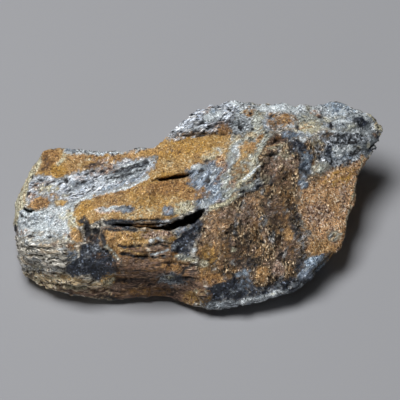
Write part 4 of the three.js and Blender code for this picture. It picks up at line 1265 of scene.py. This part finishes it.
@dataclass(frozen=True)
class Scatter:
    """Small closed pieces that stand on some of the minerals.

    Hosts say how thickly they stand on each mineral, from 0 to 1. Sizes are half the length, width and
    thickness in millimetres, tones say how dark and how light single pieces are, and wobble is how many
    degrees they lean from the fibres. None stand below the first height of CLEAR, in millimetres, and
    they are in full number from the second.
    """

    CLEAR = (2, 4)

    name: str
    hosts: dict[Mineral, float]
    per_mm2: float
    smallest: Place
    largest: Place
    tones: Span
    wobble: float
    seed: int
    sides: int = 4
    rings: int = 2

    def build(self, skin: Skin, piece: bpy.types.Object, tree: "ScatterTree",
              material: bpy.types.Material) -> bpy.types.Object:
        """Stand the pieces on the skin.

        Args:
            skin: What the surface is made of.
            piece: The skin's object.
            tree: The node tree that spreads them.
            material: Their material.

        Returns:
            A plain mesh object.
        """
        carrier = add_object(f"{self.name}_carrier", piece.data.copy())
        share = sum(skin.weights[:, COLUMN[mineral]] * thick for mineral, thick in self.hosts.items())
        clear = ramp(skin.points[:, 2], *(height * MM for height in self.CLEAR))
        where = carrier.data.attributes.new("where", "FLOAT", "POINT")
        where.data.foreach_set("value", share * clear)
        modifier = carrier.modifiers.new("scatter", "NODES")
        modifier.node_group = tree.tree
        values = {"Density": self.per_mm2 / MM**2, "Seed": self.seed,
                  "Smallest": self.metres(self.smallest), "Largest": self.metres(self.largest),
                  "Darkest": self.tones[0], "Lightest": self.tones[1],
                  "Wobble": math.radians(self.wobble), "Sides": self.sides, "Rings": self.rings,
                  "Material": material}
        for name, value in values.items():
            modifier[tree.names[name]] = value
        return add_object(f"stone_{self.name}", finished_mesh(carrier))

    @staticmethod
    def metres(size: Place) -> Place:
        """Turn millimetres into metres."""
        return tuple(part * MM for part in size)


class ScatterTree(Graph):
    """The Geometry Nodes tree that stands small pieces on a skin, each along the fibres below it."""

    INPUTS = (("Density", "Float"), ("Seed", "Int"), ("Smallest", "Vector"), ("Largest", "Vector"),
              ("Darkest", "Float"), ("Lightest", "Float"), ("Wobble", "Float"), ("Sides", "Int"),
              ("Rings", "Int"), ("Material", "Material"))
    SPIN, TONE, SIZE = 11, 22, 33

    def __init__(self) -> None:
        """Make the tree and its named inputs."""
        super().__init__(bpy.data.node_groups.new("scatter", "GeometryNodeTree"))
        face = self.tree.interface
        face.new_socket("Geometry", in_out="OUTPUT", socket_type="NodeSocketGeometry")
        face.new_socket("Geometry", in_out="INPUT", socket_type="NodeSocketGeometry")
        made = [face.new_socket(name, in_out="INPUT", socket_type=f"NodeSocket{kind}")
                for name, kind in self.INPUTS]
        self.names = {socket.name: socket.identifier for socket in made}
        self.given = self.node("NodeGroupInput", {}, {})
        self.build()

    def value(self, name: str) -> Value:
        """Give one of the named inputs."""
        return self.out(self.given, name)

    def carried(self, name: str, kind: str) -> Value:
        """Read what the skin carries."""
        return self.out(self.node("GeometryNodeInputNamedAttribute", {"data_type": kind}, {"Name": name}))

    def random(self, low: Value, high: Value, kind: str, salt: int) -> Value:
        """Draw one random value for each piece.

        Args:
            low: The lowest value.
            high: The highest value.
            kind: FLOAT or FLOAT_VECTOR.
            salt: What tells this draw from the others.

        Returns:
            The values.
        """
        first = 0 if kind == "FLOAT_VECTOR" else 2
        seed = self.value("Seed") + salt
        made = self.node("FunctionNodeRandomValue", {"data_type": kind}, {
            first: low, first + 1: high, 8: seed})
        return self.out(made, first // 2)

    def build(self) -> None:
        """Add and link the nodes."""
        spread = self.node("GeometryNodeDistributePointsOnFaces", {"distribute_method": "RANDOM"}, {
            "Mesh": self.value("Geometry"), "Seed": self.value("Seed"),
            "Density": self.value("Density") * self.carried("where", "FLOAT")})
        upright = self.node("FunctionNodeAlignRotationToVector", {"axis": "Z"}, {
            "Vector": self.out(spread, "Normal")})
        aligned = self.node("FunctionNodeAlignRotationToVector", {"axis": "X", "pivot_axis": "Z"}, {
            "Rotation": self.out(upright), "Vector": self.carried("run", "FLOAT_VECTOR")})
        most = self.value("Wobble")
        least = most * -1.0
        spin = self.node("FunctionNodeEulerToRotation", {}, {
            "Euler": self.random(self.triple(least), self.triple(most), "FLOAT_VECTOR", self.SPIN)})
        turned = self.node("FunctionNodeRotateRotation", {"rotation_space": "LOCAL"}, {
            "Rotation": self.out(aligned), "Rotate By": self.out(spin)})
        tone = self.random(self.value("Darkest"), self.value("Lightest"), "FLOAT", self.TONE)
        toned = self.node("GeometryNodeStoreNamedAttribute", {"data_type": "FLOAT", "domain": "POINT"}, {
            "Geometry": self.out(spread, "Points"), "Name": "tone", "Value": tone})
        form = self.node("GeometryNodeMeshUVSphere", {}, {
            "Segments": self.value("Sides"), "Rings": self.value("Rings"), "Radius": 1.0})
        placed = self.node("GeometryNodeInstanceOnPoints", {}, {
            "Points": self.out(toned), "Instance": self.out(form, "Mesh"), "Rotation": self.out(turned),
            "Scale": self.random(
                self.value("Smallest"), self.value("Largest"), "FLOAT_VECTOR", self.SIZE)})
        real = self.node("GeometryNodeRealizeInstances", {}, {"Geometry": self.out(placed)})
        coated = self.node("GeometryNodeSetMaterial", {}, {
            "Geometry": self.out(real), "Material": self.value("Material")})
        self.node("NodeGroupOutput", {}, {0: self.out(coated)})

    def triple(self, part: Value) -> Value:
        """Make a vector of three equal parts."""
        return self.out(self.node("ShaderNodeCombineXYZ", {}, {0: part, 1: part, 2: part}))


SCATTERS = (
    Scatter("ochre_grains", {OCHRE: 1.0, GOLD: 1.0, RUST: 0.9, CREAM: 0.6, EMBER: 1.0},
            2.0, (0.1, 0.09, 0.07), (0.28, 0.24, 0.18), (0.26, 0.8), 180, 3),
    Scatter("orange_grains", {ORANGE: 1.0, MAUVE: 1.0, VELVET: 0.4},
            2.8, (0.1, 0.09, 0.07), (0.28, 0.23, 0.17), (0.2, 0.84), 180, 4),
    Scatter("silver_needles", {SILVER: 1.0, PALE: 0.1, BLUE: 0.12, SLATE: 0.5},
            2.4, (0.16, 0.08, 0.07), (0.6, 0.15, 0.12), (0.1, 0.9), 24, 5),
    Scatter("shards", {SHARD: 1.0}, 1.5, (0.3, 0.1, 0.08), (1.6, 0.3, 0.2), (0.08, 0.9), 18, 6, 5, 3),
    Scatter("bristles", {VELVET: 1.0, LEDGE: 0.3},
            3.2, (0.16, 0.07, 0.07), (0.6, 0.13, 0.12), (0.04, 0.78), 32, 7),
    Scatter("crumbs", {BLACK: 1.0, FROST: 0.4, GREEN: 0.35, STRATA: 0.5, AQUA: 1.0, NAVY: 0.12},
            1.3, (0.12, 0.1, 0.08), (0.38, 0.32, 0.22), (0.06, 0.84), 180, 8),
)


@dataclass(frozen=True)
class Studio:
    """A plain pale floor under a soft lamp overhead, a little to the left, and a weak one at the front.

    Places and sizes are in metres and powers in watts.
    """

    floor_shade: Shade = (165, 166, 170)
    floor_size: float = 6.0
    floor_roughness: float = 0.95
    key_from: Place = (-0.44, 0.04, 1.6)
    key_size: float = 0.8
    key_power: float = 27.2
    fill_from: Place = (-0.45, -1.35, 0.34)
    fill_size: float = 0.9
    fill_power: float = 1.8
    ambient: float = 0.016

    def build(self) -> None:
        """Make floor, lamps and surroundings."""
        self.add_floor()
        self.add_lamp("key", self.key_from, self.key_size, self.key_power)
        self.add_lamp("fill", self.fill_from, self.fill_size, self.fill_power)
        world = bpy.data.worlds.new("surroundings")
        world.use_nodes = True
        sky = world.node_tree.nodes["Background"]
        sky.inputs["Color"].default_value = (1, 1, 1, 1)
        sky.inputs["Strength"].default_value = self.ambient
        bpy.context.scene.world = world
        bpy.context.scene.view_settings.view_transform = "Standard"

    def add_floor(self) -> None:
        """Make the floor."""
        half = self.floor_size / 2
        mesh = bpy.data.meshes.new("floor")
        rim = [(-half, -half, 0), (half, -half, 0), (half, half, 0), (-half, half, 0)]
        mesh.from_pydata(rim, [], [(0, 1, 2, 3)])
        floor = add_object("floor", mesh)
        material = bpy.data.materials.new("floor")
        material.use_nodes = True
        shader = material.node_tree.nodes["Principled BSDF"]
        shader.inputs["Base Color"].default_value = (*linear(self.floor_shade), 1)
        shader.inputs["Roughness"].default_value = self.floor_roughness
        mesh.materials.append(material)
        floor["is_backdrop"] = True

    def add_lamp(self, name: str, place: Place, size: float, power: float) -> None:
        """Add a square lamp that shines at the stone.

        Args:
            name: The lamp's name.
            place: Where it hangs, in metres.
            size: Its side, in metres.
            power: Its power, in watts.
        """
        data = bpy.data.lights.new(name, "AREA")
        data.size = size
        data.energy = power
        lamp = add_object(name, data)
        lamp.location = place
        lamp.rotation_euler = (-Vector(place)).to_track_quat("-Z", "Y").to_euler()


def corners(box: Any) -> list[list[float]]:
    """Write a box as plain lists."""
    return [[float(part) for part in corner] for corner in box]


def hand_over(piece: bpy.types.Object) -> None:
    """Tell the frame about one piece, and report it."""
    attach(piece, BODY)
    mesh = piece.data
    log.info("%s: %d points, %d faces", piece.name, len(mesh.vertices), len(mesh.polygons))


def main() -> None:
    """Build the stone, its small pieces and the studio."""
    logging.basicConfig(level=logging.INFO, format="%(message)s")
    view = PhotoView()
    view.add_camera()
    Studio().build()
    material = SkinShader(SLOT).material
    skin = Skin(view)
    piece, sliver = skin.build(), Sliver(view).build()
    for part in (piece, sliver):
        part.data.materials.clear()
        part.data.materials.append(material)
    tree = ScatterTree()
    small = [scatter.build(skin, piece, tree, material) for scatter in SCATTERS]
    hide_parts(NODE)
    for part in (piece, sliver, *small):
        hand_over(part)
    {"cad": corners(CAD_BOX), "visual": corners(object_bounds())}


if __name__ == "__main__":
    main()
